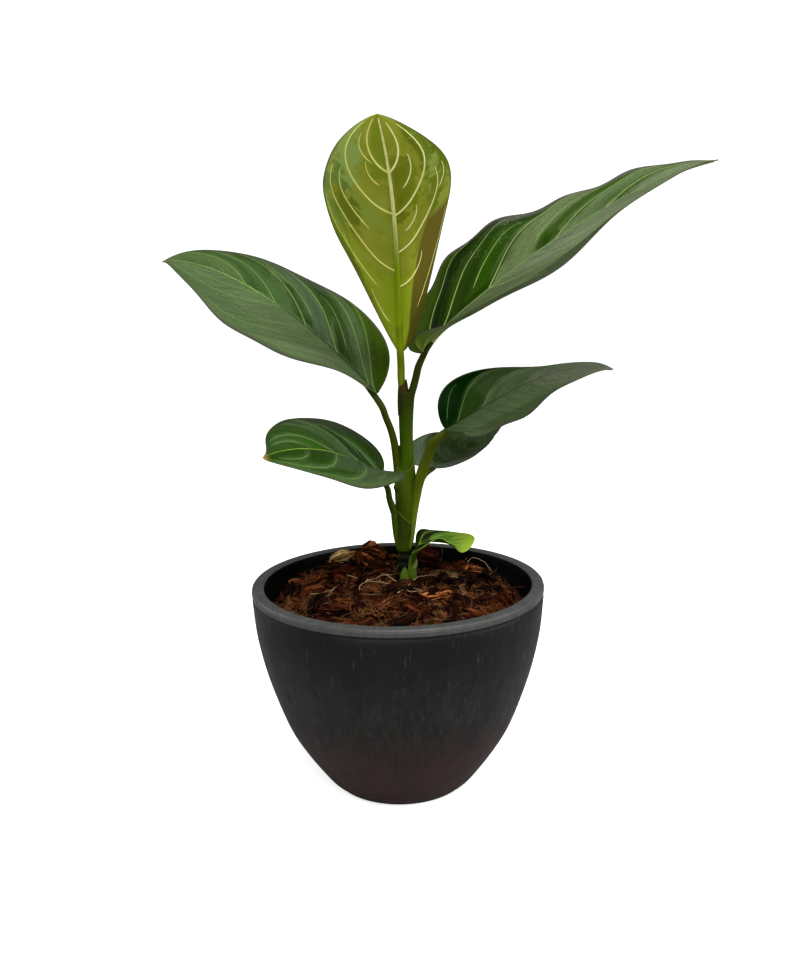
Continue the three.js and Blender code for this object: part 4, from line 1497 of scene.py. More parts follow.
LEAF_FORMS = (
    LeafForm(
        node="leaf_top", slot=Slot.LEAF_PALE,
        midrib=((2.2, 5.7, 149.5), (1.1, -2.8, 177.9), (2.2, -44.8, 198), (-2.9, -64.3, 216.8)),
        face_towards=(0, 1, 0), half_width=23, base_fullness=0.66, tip_fullness=0.72, roll=(-10, 3, -24),
        fold=(64, 39, 5), curl=(13, 13, 10),
        left=Half(
            0.94, (0.2, 2.97, -0.13), 2, 2.2,
            (
                Vein(0.59, 0.96, 0.79), Vein(0.77, 0.97, 0.38), Vein(0.43, 0.74, 0.76),
                Vein(0.28, 0.4, 0.42), Vein(0.67, 0.84, 0.42, 0.6), Vein(0.5, 0.62, 0.34, 0.5),
                Vein(0.5, 0.75, 0.9, 0.5, 0.55), Vein(0.02, 0.5, 0.93, 0.5, 0.3),
            ),
        ),
        right=Half(
            1.06, (-0.6, 2.98, 0.45), 1.8, 2.2,
            (
                Vein(0.6, 0.97, 0.84), Vein(0.77, 0.985, 0.44), Vein(0.35, 0.77, 0.9),
                Vein(0.47, 0.77, 0.76, 0.8), Vein(0.23, 0.45, 0.76, 0.8), Vein(0.1, 0.24, 0.5, 0.8),
                Vein(0.7, 0.82, 0.36, 0.4), Vein(0.78, 0.93, 0.6, 0.4), Vein(0.2, 0.6, 0.95, 0.4),
            ),
        ),
        stalk=(
            (2.3, 7, 145.3, 1.25), (2.3, 7.8, 141.5, 1.25), (2.5, 8.2, 137.5, 1.25), (2.8, 8.4, 133, 1.2),
        ),
        rib_width=1.6, vein_width=0.66, quilting=0.22, rib_sunk=0.25,
    ),
    LeafForm(
        node="leaf_upper_left", slot=Slot.LEAF_DARK,
        midrib=((-6, 5.1, 136.1), (-22.6, 22.4, 153.7), (-60.3, 32.3, 184.3), (-83.1, 40.6, 180.6)),
        half_width=21.4, base_fullness=0.64, tip_fullness=0.89, roll=(-9, -25, -17), fold=(48, -1, 20),
        curl=(1, -9, -10),
        left=Half(
            1.05, (0.53, 3.08, 0.08), 0, 2.8,
            (
                Vein(0.02, 0.3, 0.86), Vein(0.15, 0.46, 0.9), Vein(0.26, 0.7, 0.86),
                Vein(0.36, 0.58, 0.62, 0.5), Vein(0.47, 0.93, 0.72), Vein(0.55, 0.92, 0.45),
                Vein(0.66, 0.94, 0.26, 0.6),
            ),
        ),
        right=Half(
            1.03, (0.31, 3.11, 1.17), 0, 1.3,
            (
                Vein(0.0, 0.34, 0.98), Vein(0.05, 0.43, 0.93), Vein(0.22, 0.58, 0.93),
                Vein(0.15, 0.42, 0.72, 0.5), Vein(0.36, 0.73, 0.9), Vein(0.49, 0.82, 0.82),
                Vein(0.61, 0.9, 0.72), Vein(0.3, 0.6, 0.72, 0.4),
            ),
        ),
        stalk=(
            (-4.7, 6, 132, 1.15), (-3, 6.8, 127.3, 1.15), (-1.5, 7.5, 123.2, 1.2), (-0.4, 8, 118.4, 1.3),
            (0.3, 8.4, 112.5, 1.4), (0.7, 8.7, 106.5, 1.4),
        ),
        rib_line=1.35,
    ),
    LeafForm(
        node="leaf_upper_right", slot=Slot.LEAF_DARK,
        midrib=((9, 4.1, 149.5), (10.6, 6.3, 155.3), (71.5, 11.4, 204.6), (108.3, 14.3, 210.6)),
        half_width=20.1, base_fullness=0.56, tip_fullness=1.19, roll=(-24, 33, 7), fold=(32, 19, 28),
        curl=(0, 0, 0),
        left=Half(
            1.02, (2.05, 2.13, 2.15), 0, 1.5,
            (
                Vein(0.08, 0.42, 0.97), Vein(0.2, 0.52, 0.93), Vein(0.3, 0.54, 0.78, 0.7),
                Vein(0.38, 0.68, 0.97), Vein(0.49, 0.69, 0.78, 0.6), Vein(0.57, 0.86, 0.93),
                Vein(0.7, 0.93, 0.82),
            ),
            (0.91, 6.64, -0.42),
        ),
        right=Half(
            1.01, (-1.03, 2.99, -2.18), 0.8, 1.6,
            (
                Vein(0.0, 0.26, 0.8), Vein(0.12, 0.38, 0.85), Vein(0.25, 0.5, 0.8, 0.6),
                Vein(0.38, 0.66, 0.8), Vein(0.51, 0.78, 0.85), Vein(0.64, 0.9, 0.8, 0.7),
                Vein(0.76, 0.96, 0.7, 0.6),
            ),
        ),
        stalk=(
            (8.3, 5.6, 145.2, 1.2), (7.3, 6.7, 141.2, 1.25), (6.4, 7.4, 137.8, 1.3), (5.6, 7.9, 135, 1.3),
            (4.8, 8.2, 130, 1.2),
        ),
    ),
    LeafForm(
        node="leaf_lower_left", slot=Slot.LEAF_MID,
        midrib=((-4.4, 3.4, 108.9), (-14.1, -3.2, 116.3), (-25.8, -40.5, 129.4), (-39.2, -40.7, 123.2)),
        half_width=16.8, base_fullness=0.52, tip_fullness=0.65, roll=(-21, -34, -6), fold=(48, 1, -4),
        curl=(1, -8, -9),
        left=Half(
            1.1, (-0.34, 2.43, -0.14), 3.4, 2.6,
            (
                Vein(0.22, 0.74, 0.84), Vein(0.46, 0.95, 0.76), Vein(0.68, 0.92, 0.5, 0.6),
                Vein(0.1, 0.4, 0.8, 0.4),
            ),
        ),
        right=Half(
            1.05, (-0.14, 2.98, -0.41), 1.5, 1.7,
            (
                Vein(0.02, 0.34, 0.62), Vein(0.26, 0.56, 0.95), Vein(0.47, 0.87, 0.72),
                Vein(0.62, 0.9, 0.5, 0.8), Vein(0.14, 0.44, 0.8, 0.4),
            ),
        ),
        stalk=(
            (-3.2, 4.6, 103.9, 1), (-2.4, 6, 99.4, 1.1), (-1.4, 7, 96, 1.3), (-0.1, 8, 92, 1.4),
            (1.2, 8.7, 88, 1.4),
        ),
        quilting=0.45, rib_line=1.5,
    ),
    LeafForm(
        node="leaf_middle_right", slot=Slot.LEAF_DARK,
        midrib=((16.3, -4.1, 125.1), (33.7, -6.5, 134.4), (49.3, -21.8, 150.4), (66.5, -28.9, 146.5)),
        half_width=16.7, base_fullness=0.53, tip_fullness=0.99, roll=(49, 28, 13), fold=(51, -13, 2),
        curl=(1, -10, -10),
        left=Half(
            1.06, (-0.22, 2.82, -0.37), 0.8, 1.8,
            (
                Vein(0.0, 0.16, 0.85, 0.6), Vein(0.08, 0.34, 0.9), Vein(0.24, 0.52, 0.72),
                Vein(0.4, 0.72, 0.75, 0.7), Vein(0.56, 0.86, 0.7, 0.5),
            ),
        ),
        right=Half(
            1.01, (0.64, 3.03, 0.56), 0, 1.7,
            (
                Vein(0.05, 0.34, 0.8, 0.5), Vein(0.2, 0.62, 0.75, 0.6), Vein(0.38, 0.76, 0.75, 0.5),
                Vein(0.54, 0.88, 0.7, 0.4),
            ),
        ),
        stalk=(
            (14.2, -1.2, 121.6, 1.4), (12.1, 1.4, 118.1, 1.7), (10.7, 3.6, 113.6, 1.8),
            (9.2, 5.4, 109.4, 1.9), (7.9, 6.7, 105, 1.75), (6.9, 7.5, 100, 1.6), (6, 8, 94, 1.35),
            (5.2, 8.4, 88, 1.1),
        ),
        vein_width=0.34, quilting=0.3,
    ),
    LeafForm(
        node="leaf_low_back", slot=Slot.LEAF_DARK,
        midrib=((12, 10.6, 109.2), (17.2, 22.7, 112), (30.2, 30.8, 107.8), (41.2, 36.7, 122.6)),
        half_width=13.6, base_fullness=0.51, tip_fullness=0.81, roll=(7, 6, -19), fold=(12, 27, 17),
        curl=(0, 0, 0),
        left=Half(
            1.03, (0.14, 2.96, -0.37), 5.1, 1.8,
            (
                Vein(0.05, 0.34, 0.85), Vein(0.24, 0.58, 0.85), Vein(0.45, 0.8, 0.8),
                Vein(0.64, 0.92, 0.7, 0.6),
            ),
        ),
        right=Half(
            0.99, (0.11, 3, -0.11), 2.2, 1.8,
            (
                Vein(0.05, 0.34, 0.85), Vein(0.24, 0.58, 0.85), Vein(0.45, 0.8, 0.8),
                Vein(0.64, 0.92, 0.7, 0.6),
            ),
        ),
        stalk=(
            (10.3, 10.9, 107.2, 1.2), (8.2, 11, 104.2, 1.3), (6, 11.1, 100, 1.3), (4.4, 10.9, 95.5, 1.2),
        ),
        vein_width=0.24, quilting=0.45,
    ),
    LeafForm(
        node="leaf_side_shoot", slot=Slot.LEAF_FRESH,
        midrib=((6.1, -3.7, 83.4), (9.5, -5.1, 92.2), (18.1, 0, 82.1), (26.3, -3.3, 87.4)), half_width=10,
        base_fullness=0.6, tip_fullness=0.7, roll=(18, -4, 34), fold=(4, 12, -12), curl=(0, 0, 0),
        left=Half(
            1.01, (-0.11, 2.88, -0.67), 0, 1.8,
            (Vein(0.1, 0.5, 0.85), Vein(0.35, 0.8, 0.8), Vein(0.6, 0.92, 0.6, 0.7)),
        ),
        right=Half(
            1.05, (0.48, 2.99, 1.22), 0, 1.8,
            (Vein(0.1, 0.5, 0.85), Vein(0.35, 0.8, 0.8), Vein(0.6, 0.92, 0.6, 0.7)),
        ),
        stalk=((5.9, -1.6, 82, 0.95), (5.7, 0.8, 80.4, 1), (5.4, 2.4, 78.8, 1), (5, 3.4, 77, 1)),
        rib_width=0.7, vein_width=0.26, quilting=0.2,
    ),
)


def leaf_looks(effects: Effects) -> dict[str, LeafLook]:
    """Makes the materials of every leaf.

    Args:
        effects: the shared effects.

    Returns:
        The look of each leaf by its node's name.
    """
    brown_edge = (60, 52, 46)
    faces = (
        BladeFinish(
            "upper_left_face", ground=(36, 54, 12), silver=(58, 74, 42), halo=(66, 86, 46),
            edge=(58, 60, 52), tip=(84, 84, 60), pattern=Variegation(0.8, 0.5, (-0.3, 0.1)),
            zones=(
                Zone((72, 87, 56), (-1.0, 1.2), (0.0, 0.8), 0.7),
                Zone((66, 82, 50), (-1.0, 0.5), (0.75, 1.2), 0.7),
                Zone((60, 76, 46), (0.36, 0.62), (0.55, 1.2), 0.7),
                Zone((88, 102, 70), (-1.0, 0.2), (0.1, 0.9), 0.7),
                Zone((42, 60, 2), (-1.0, 0.02), (-1.2, -0.04), 0.95),
                Zone((58, 74, 48), (0.06, 0.11), (-0.8, -0.04), 0.7),
                Zone((22, 42, 0), (0.125, 0.21), (-0.95, -0.04), 0.95),
                Zone((56, 70, 48), (0.23, 0.325), (-1.2, -0.04)),
                Zone((16, 38, 0), (0.335, 0.4), (-0.55, -0.04), 0.95),
                Zone((46, 70, 32), (0.42, 0.62), (-0.7, -0.04), 0.8),
                Zone((66, 84, 46), (0.62, 1.2), (-1.2, -0.04), 0.7),
                Zone((52, 60, 44), (0.05, 0.6), (-1.2, -0.8), 0.6),
                Zone((24, 44, 8), (0.42, 0.62), (-0.8, -0.04), 0.6, 1.0),
                # Painted glints: pale specks on the base lobe.
                Zone((86, 102, 70), (-0.12, 0.04), (-0.6, -0.25), 0.7, 1.0),
            ),
            streaks=0.15, specular=0.04,
        ),
        BladeFinish(
            "upper_right_face", ground=(26, 46, 2), silver=(72, 86, 54), halo=(78, 98, 42),
            edge=(66, 62, 58), tip=(84, 84, 70), pattern=Variegation(0.5, 0.75, (0.05, 0.45), 6.0),
            zones=(
                Zone((18, 38, 0), (-1.0, 0.39), (0.0, 1.2), 0.97),
                Zone((44, 62, 2), (-1.0, 0.08), (0.0, 1.2), 0.9),
                Zone((8, 24, 0), (0.09, 0.16), (0.2, 1.2), 0.8),
                Zone((28, 46, 4), (0.18, 0.265), (0.0, 0.8), 0.85),
                Zone((30, 56, 0), (0.28, 0.37), (0.12, 0.8), 0.95),
                Zone((80, 94, 58), (0.385, 0.5), (0.0, 1.2), 0.85),
                Zone((34, 58, 2), (0.5, 0.57), (0.2, 0.9), 0.92),
                Zone((74, 90, 56), (0.58, 0.66), (0.0, 1.2), 0.8),
                Zone((50, 70, 28), (0.66, 0.74), (0.1, 0.8), 0.8),
                Zone((90, 100, 74), (0.74, 1.3), (0.0, 1.2), 0.8),
                Zone((70, 70, 62), (0.2, 1.0), (0.88, 1.2), 0.7),
                # The near half's grey-green: partly variegation, partly painted sheen.
                Zone((68, 78, 52), (0.2, 0.42), (-0.75, 0.0), 0.75),
                Zone((82, 90, 68), (0.42, 1.2), (-0.85, 0.0), 0.75),
                Zone((94, 102, 78), (0.46, 0.6), (-0.8, -0.2), 0.6),
                Zone((42, 56, 24), (-0.12, 0.2), (-1.2, 0.0), 0.85),
                Zone((76, 98, 6), (-1.0, -0.1), (-1.2, 0.0), 0.9),
                Zone((40, 50, 30), (0.1, 0.45), (-1.2, -0.72), 0.8),
                # Painted glints: pale specks.
                Zone((96, 110, 86), (0.16, 0.36), (0.6, 0.95), 0.7, 1.0),
            ),
            halo_share=0.12, streaks=0.15, specular=0.03,
        ),
        BladeFinish(
            "lower_left_face", ground=(30, 52, 8), silver=(46, 68, 32), halo=(64, 86, 46),
            edge=(50, 56, 36), tip=(136, 108, 44), pattern=Variegation(0.4, 0.3, (0.0, 0.3), 5.0),
            zones=(
                Zone((22, 44, 4), (-1.0, 0.0), (-1.2, 0.0), 0.9),
                Zone((26, 40, 16), (0.1, 0.25), (-1.2, 0.0), 0.8),
                Zone((54, 74, 38), (0.27, 0.4), (-0.9, 0.0), 0.8),
                Zone((38, 60, 18), (0.41, 0.49), (-1.2, 0.0), 0.7),
                Zone((34, 70, 0), (0.53, 0.62), (-0.6, 0.0), 0.85),
                Zone((40, 62, 18), (0.63, 1.2), (-1.2, 0.0), 0.6),
                Zone((40, 46, 32), (-0.2, 0.35), (-1.2, -0.76), 0.7),
                Zone((24, 48, 0), (0.48, 1.0), (0.0, 0.5), 0.85),
                Zone((50, 68, 36), (0.28, 0.46), (0.0, 0.6), 0.7),
                Zone((54, 68, 42), (-1.0, 0.28), (0.3, 1.2), 0.75),
                Zone((62, 82, 44), (-0.2, 0.8), (0.86, 1.2), 0.6),
            ),
            streaks=0.15, halo_share=0.7, specular=0.06, tip_from=0.95,
        ),
        BladeFinish(
            "middle_right_face", ground=(28, 46, 12), silver=(56, 68, 44), halo=(56, 72, 40),
            edge=(52, 50, 44), tip=(86, 78, 70), pattern=Variegation(0.62, 0.9, (-0.1, 0.35), 5.0),
            zones=(
                Zone((2, 24, 0), (-1.0, 0.07), (0.02, 1.2), 1.0),
                Zone((26, 44, 12), (0.09, 0.25), (0.02, 1.2), 0.75),
                Zone((52, 66, 40), (0.27, 0.5), (0.0, 1.2), 0.75),
                # Grey towards the tip and on the near half: partly variegation, partly painted sheen.
                Zone((68, 73, 58), (0.5, 1.3), (-1.2, 1.2), 0.75),
                Zone((56, 70, 44), (-1.0, 0.5), (-0.8, 0.0), 0.7),
                Zone((36, 50, 24), (0.0, 0.4), (-1.2, -0.7), 0.6),
            ),
            streaks=0.14, halo_share=0.12, specular=0.01,
        ),
        BladeFinish(
            "low_back_face", ground=(34, 54, 14), silver=(54, 70, 38), halo=(60, 80, 42), edge=brown_edge,
            tip=(60, 70, 40), pattern=Variegation(0.5, 0.6, (0.0, 0.3), 5.0),
            # The grey base lobe: painted sheen.
            zones=(Zone((94, 104, 84), (-1.0, 0.1), (-1.2, 1.2), 0.75),), halo_share=0.2, specular=0.05,
        ),
        BladeFinish(
            "side_shoot_face", ground=(62, 94, 26), silver=(96, 126, 64), halo=(110, 142, 60),
            edge=(120, 150, 40), tip=(126, 150, 44), pattern=Variegation(0.3, 0.3),
            # Painted shade: the lower part of the blade near black.
            zones=(Zone((16, 22, 0), (-1.0, 0.3), (-1.2, 1.2), 1.0),), halo_share=0.15, specular=0.03,
            tip_from=0.6,
        ),
        BladeFinish(
            "top_upper_face", ground=(60, 92, 24), silver=(40, 70, 18), halo=(84, 112, 50),
            edge=(60, 56, 30), tip=(80, 88, 40), pattern=Variegation(0.45, 0.45),
        ),
        BladeFinish(
            "dark_under_face", ground=(98, 120, 28), silver=(80, 106, 18), halo=(112, 132, 60),
            edge=(58, 48, 38), tip=(74, 74, 48), pattern=Variegation(0.4, 0.4), roughness=0.5,
        ),
        BladeFinish(
            "side_shoot_under_face", ground=(38, 56, 4), silver=(28, 46, 2), halo=(60, 84, 24),
            edge=(100, 130, 36), tip=(110, 140, 36), pattern=Variegation(0.4, 0.4),
        ),
        PaleUnderFinish(
            "top_under_face", ground=(138, 145, 34), streak=(156, 163, 54), blotch=(108, 140, 54),
            rib_green=(133, 156, 12), fold_shade=(106, 96, 32), rust=(146, 120, 18), edge=(88, 112, 40),
            zones=(
                Zone((122, 140, 26), (0.72, 1.3), (-0.34, 0.0), 0.8),
                Zone((104, 118, 10), (0.57, 0.8), (0.0, 0.42), 0.8),
                Zone((142, 170, 86), (0.57, 0.76), (-1.2, -0.5)),
                # Painted sheen: the paler patch.
                Zone((140, 164, 64), (0.49, 0.6), (-0.5, -0.06), 0.6),
                Zone((100, 132, 54), (0.5, 0.58), (-0.9, -0.62), 0.9),
                Zone((104, 136, 48), (0.28, 0.38), (-0.95, -0.72), 0.8),
                # Painted sheen: the greyish band along the left margin.
                Zone((150, 168, 92), (0.1, 0.62), (-1.2, -0.93), 0.8),
                Zone((99, 139, 10), (-0.3, 0.22), (-1.2, -0.74)),
                Zone((98, 116, 10), (0.44, 0.8), (0.56, 1.2), 0.9),
                Zone((150, 166, 74), (0.57, 0.64), (0.6, 0.88), 0.9),
                Zone((122, 126, 32), (0.38, 0.58), (0.26, 0.6), 0.7),
                Zone((98, 112, 12), (0.38, 0.52), (-0.8, -0.46), 0.85),
                Zone((104, 100, 18), (-1.0, 0.14), (-1.2, -0.5), 0.75),
                Zone((146, 156, 60), (0.32, 0.46), (0.6, 0.96), 0.7),
                Zone((150, 172, 34), (-1.0, 0.3), (-0.7, 0.5), 0.6),
            ),
        ),
    )
    blade = {finish.name: finish.build(effects) for finish in faces}
    rib_finishes = (
        VeinFinish("vein_cream", (222, 222, 112), (244, 244, 172), (0.1, 0.5), (232, 232, 132)),
        VeinFinish("rib_cream", (126, 146, 16), (240, 236, 160), (0.35, 0.72)),
        VeinFinish("vein_upper_left", (74, 96, 54), (86, 106, 62), (0.2, 0.8), (92, 118, 56)),
        VeinFinish("vein_upper_right", (122, 146, 68), (96, 114, 72), (0.15, 0.6), (84, 98, 66)),
        VeinFinish("vein_lower_left", (74, 98, 52), (84, 112, 48), (0.2, 0.8), (86, 112, 64)),
        VeinFinish("vein_faint", (64, 90, 40), (60, 74, 48), (0.1, 0.5), (52, 64, 42)),
        VeinFinish("vein_lime", (104, 140, 44), (140, 170, 56)),
        VeinFinish("midrib_upper_left", (34, 54, 14), (124, 152, 66), (0.42, 0.6)),
        VeinFinish("midrib_upper_right", (104, 130, 50), (84, 104, 56), (0.2, 0.5)),
        VeinFinish("midrib_lower_left", (64, 88, 42), (118, 148, 40), (0.3, 0.6)),
        VeinFinish("midrib_dark", (6, 26, 0), (44, 58, 34), (0.45, 0.9)),
        VeinFinish("under_rib_green", (140, 158, 80), (134, 154, 84)),
    )
    rib = {finish.name: finish.build(effects) for finish in rib_finishes}
    stalk_finishes = (
        StalkFinish("stalk_bright", (96, 112, 8), (132, 152, 18), (66, 78, 4), 147, 153),
        StalkFinish("stalk_olive", (56, 70, 3), (44, 56, 3), (28, 38, 0), 90, 140),
        StalkFinish("stalk_lush", (80, 96, 12), (66, 80, 8), (60, 54, 10), 94, 124, 12.0),
        StalkFinish("stalk_fresh", (76, 104, 20), (60, 90, 14), (42, 66, 6), 70, 84),
    )
    stalk = {finish.name: finish.build(effects) for finish in stalk_finishes}
    dark_under, under_rib = blade["dark_under_face"], rib["under_rib_green"]
    olive, lush, lime = stalk["stalk_olive"], stalk["stalk_lush"], rib["vein_lime"]

    def dark_leaf(face: str, veins: str, petiole: Material, midrib: str) -> LeafLook:
        """Puts together the look of a leaf that shows its dark upper face."""
        return LeafLook(blade[face], dark_under, rib[veins], under_rib, petiole, rib[midrib], under_rib)

    return {
        "leaf_top": LeafLook(
            blade["top_upper_face"], blade["top_under_face"], under_rib, rib["vein_cream"],
            stalk["stalk_bright"], under_rib, rib["rib_cream"],
        ),
        "leaf_upper_left": dark_leaf("upper_left_face", "vein_upper_left", olive, "midrib_upper_left"),
        "leaf_upper_right": dark_leaf(
            "upper_right_face", "vein_upper_right", olive, "midrib_upper_right",
        ),
        "leaf_lower_left": dark_leaf("lower_left_face", "vein_lower_left", olive, "midrib_lower_left"),
        "leaf_middle_right": dark_leaf("middle_right_face", "vein_faint", lush, "midrib_dark"),
        "leaf_low_back": dark_leaf("low_back_face", "vein_faint", lush, "vein_faint"),
        "leaf_side_shoot": LeafLook(
            blade["side_shoot_face"], blade["side_shoot_under_face"], lime, lime, stalk["stalk_fresh"],
            lime, lime,
        ),
    }


# ---------------------------------------------------------------- stem
@dataclass(frozen=True)
class Oval:
    """One level section of a stalk or sheath: its middle, height and half axes."""

    x: float
    y: float
    z: float
    rx: float
    ry: float


@dataclass(frozen=True)
class Strand:
    """A round strand through stations of x, y, z and radius."""

    stations: tuple[tuple[float, float, float, float], ...]
    sides: int
    steps: int

    def rings(self) -> np.ndarray:
        """Draws the strand's rings of points."""
        rows = smooth_route(self.stations, self.steps)
        return tube_rings(rows[:, :3], rows[:, 3], self.sides)


def oval_rings(sections: Sequence[Oval], count: int, sides: int) -> np.ndarray:
    """Draws smooth rings through level sections.

    Args:
        sections: the sections, from the lowest up.
        count: how many rings to draw.
        sides: how many points each has.

    Returns:
        Rings of points, as an array of rings by sides by 3.
    """
    rows = smooth_route([(s.x, s.y, s.z, s.rx, s.ry) for s in sections], count)
    angles = full_turn(sides)
    x = rows[:, 0:1] + np.cos(angles) * rows[:, 3:4]
    y = rows[:, 1:2] + np.sin(angles) * rows[:, 4:5]
    z = np.broadcast_to(rows[:, 2:3], x.shape)
    return np.stack([x, y, z], axis=2)


@dataclass(frozen=True)
class Sheath:
    """A leaf sheath round the stem, with a slanted open edge at its top."""

    name: str
    sections: tuple[Oval, ...]
    edge_rise: float
    edge_turn: float
    edge_power: float
    lip: float = 0.26
    sides: int = 48

    def edge(self, angles: np.ndarray) -> np.ndarray:
        """Gives how far the top edge rises at each angle."""
        wave = np.cos(angles - math.radians(self.edge_turn))
        return self.edge_rise * np.sign(wave) * np.abs(wave) ** self.edge_power

    def build(self, sheath: Material, membrane: Material) -> None:
        """Makes the sheath with its pale edge.

        Args:
            sheath: the sheath's material.
            membrane: the edge's material.
        """
        rings = oval_rings(self.sections, 34, self.sides)
        angles = full_turn(self.sides)
        bottom, top = rings[0, 0, 2], rings[-1, 0, 2]
        rise = np.clip((rings[:, :, 2] - bottom) / (top - bottom), 0, 1) ** 2
        rings[:, :, 2] += rise * self.edge(angles)[None, :]
        middle = rings[-1].mean(axis=0)
        inward = (middle - rings[-1]) * np.array([1.0, 1.0, 0.0])
        step_in = unit(inward) * self.lip
        inner = rings[-1] + step_in
        deeper = inner + step_in * 0.6 - np.array([0.0, 0.0, 1.8])
        draft = MeshDraft()
        draft.add_tube(np.concatenate([rings, inner[None], deeper[None]]), 0)
        # The pale membrane along the top edge: partly the sheath's own edge, partly a painted highlight.
        route = (rings[-1] + inner) / 2
        closed = np.concatenate([route, route[:2]])
        edge_rings = tube_rings(closed, np.full(len(closed), self.lip * 0.62), 8)
        draft.add_tube(edge_rings, 1)
        hand_over(draft.build(self.name, [sheath, membrane], 60), ["stem"])


@dataclass(frozen=True)
class Stem:
    """The stump, the stalk inside the sheaths, the sheaths and the strands down their sides."""

    stalk: tuple[Oval, ...] = (
        Oval(2.4, 9, 80.2, 2.3, 2.4), Oval(2.4, 9, 81.4, 2.8, 2.9), Oval(2.7, 9, 90, 3, 3),
        Oval(2.9, 9, 98, 3, 3), Oval(3.2, 9, 108, 2.7, 2.8), Oval(3.7, 8.9, 116, 2.3, 2.6),
        Oval(3.7, 8.6, 124, 2.4, 2.4), Oval(3.8, 8.3, 130, 2.6, 2.2), Oval(4, 8.1, 135, 2.8, 1.9),
        Oval(4, 8, 136.2, 2.4, 1.5),
    )
    stump: Strand = Strand(
        (
            (1.9, 9.2, 56, 1.6), (1.8, 9.1, 62, 2), (1.6, 9, 68, 2.1), (1.9, 9, 74, 1.9),
            (2.2, 9, 78, 2.1), (2.4, 9, 83, 2.2),
        ),
        20, 44,
    )
    sheaths: tuple[Sheath, ...] = (
        Sheath(
            "stem_low_sheath",
            (
                Oval(2.5, 9, 80.5, 2.3, 2.4), Oval(2.5, 9, 81.2, 2.9, 3.0), Oval(2.5, 9, 83, 3.15, 3.3),
                Oval(2.6, 9, 86, 3.4, 3.5), Oval(2.7, 9, 92.3, 3.3, 3.3),
            ),
            3.2, 180, 1.0,
        ),
        Sheath(
            "stem_middle_sheath",
            (
                Oval(2.9, 9, 92.4, 3.1, 3.1), Oval(3, 9, 97, 3.45, 3.45), Oval(3.1, 9, 105, 3.75, 3.55),
                Oval(3, 9, 113.2, 3.35, 3.1),
            ),
            4.4, 90, 1.0,
        ),
        Sheath(
            "stem_top_sheath",
            (
                Oval(3.4, 8.5, 128, 2.4, 2.1), Oval(3.2, 8.3, 132, 2.3, 2.1),
                Oval(2.9, 8.2, 136, 1.9, 1.8), Oval(2.7, 8.1, 139, 1.5, 1.5),
            ),
            1.2, 10, 1.0, 0.2,
        ),
    )
    bud: Strand = Strand(
        ((1.4, 7.8, 101.6, 1.2), (0.5, 7.3, 102.6, 1.25), (-0.2, 7, 103.4, 0.9), (-0.5, 6.9, 104, 0.35)),
        14, 14,
    )
    left_strand: Strand = Strand(
        ((-0.9, 7.3, 94.5, 1.2), (-0.5, 7.5, 90, 1.3), (-0.1, 7.7, 85.5, 1.2), (0.5, 8, 81.5, 0.9)), 14, 26
    )
    right_strand: Strand = Strand(
        (
            (6.6, 7.6, 98, 1.4), (6, 7.9, 93, 1.2), (5.6, 7.6, 89, 1.0), (5.2, 7.2, 86, 0.9),
            (4.7, 6.9, 83.5, 0.8), (4.3, 6.9, 81.6, 0.6),
        ),
        14, 30,
    )

    def build(self, finishes: dict[str, Material]) -> None:
        """Makes every piece of the stem.

        Args:
            finishes: the materials by name.
        """
        draft = MeshDraft()
        draft.add_tube(oval_rings(self.stalk, 90, 44), 0)
        hand_over(draft.build("stem_stalk", [finishes["stalk"]], 50), ["stem"])
        self._build_stump(finishes["stump"])
        for sheath, material in zip(self.sheaths, ("low", "middle", "top")):
            sheath.build(finishes[material], finishes["brown" if material == "top" else "membrane"])
        self._build_strand("stem_bud", self.bud, finishes["low"])
        self._build_strand("stem_left_strand", self.left_strand, finishes["strand"])
        self._build_strand("stem_right_strand", self.right_strand, finishes["bright_strand"])

    @staticmethod
    def _build_strand(name: str, strand: Strand, material: Material) -> None:
        """Makes one plain strand of the stem."""
        draft = MeshDraft()
        draft.add_tube(strand.rings(), 0)
        hand_over(draft.build(name, [material], 60), ["stem"])

    def _build_stump(self, material: Material) -> None:
        """Makes the old dark foot of the stem, ringed by leaf scars."""
        rows = smooth_route(self.stump.stations, self.stump.steps)
        scars = 1 + 0.07 * np.cos(rows[:, 2] * 2 * math.pi / 3.1)
        rings = tube_rings(rows[:, :3], rows[:, 3] * scars, self.stump.sides)
        middles = rows[:, None, :3]
        for ring, (points, middle) in enumerate(zip(rings, middles)):
            for side, point in enumerate(points):
                lump = noise.noise(Vector(point) * 0.9)
                rings[ring, side] = middle + (point - middle) * (1 + 0.12 * lump)
        draft = MeshDraft()
        draft.add_tube(rings, 0)
        hand_over(draft.build("stem_stump", [material], 60), ["stem"])


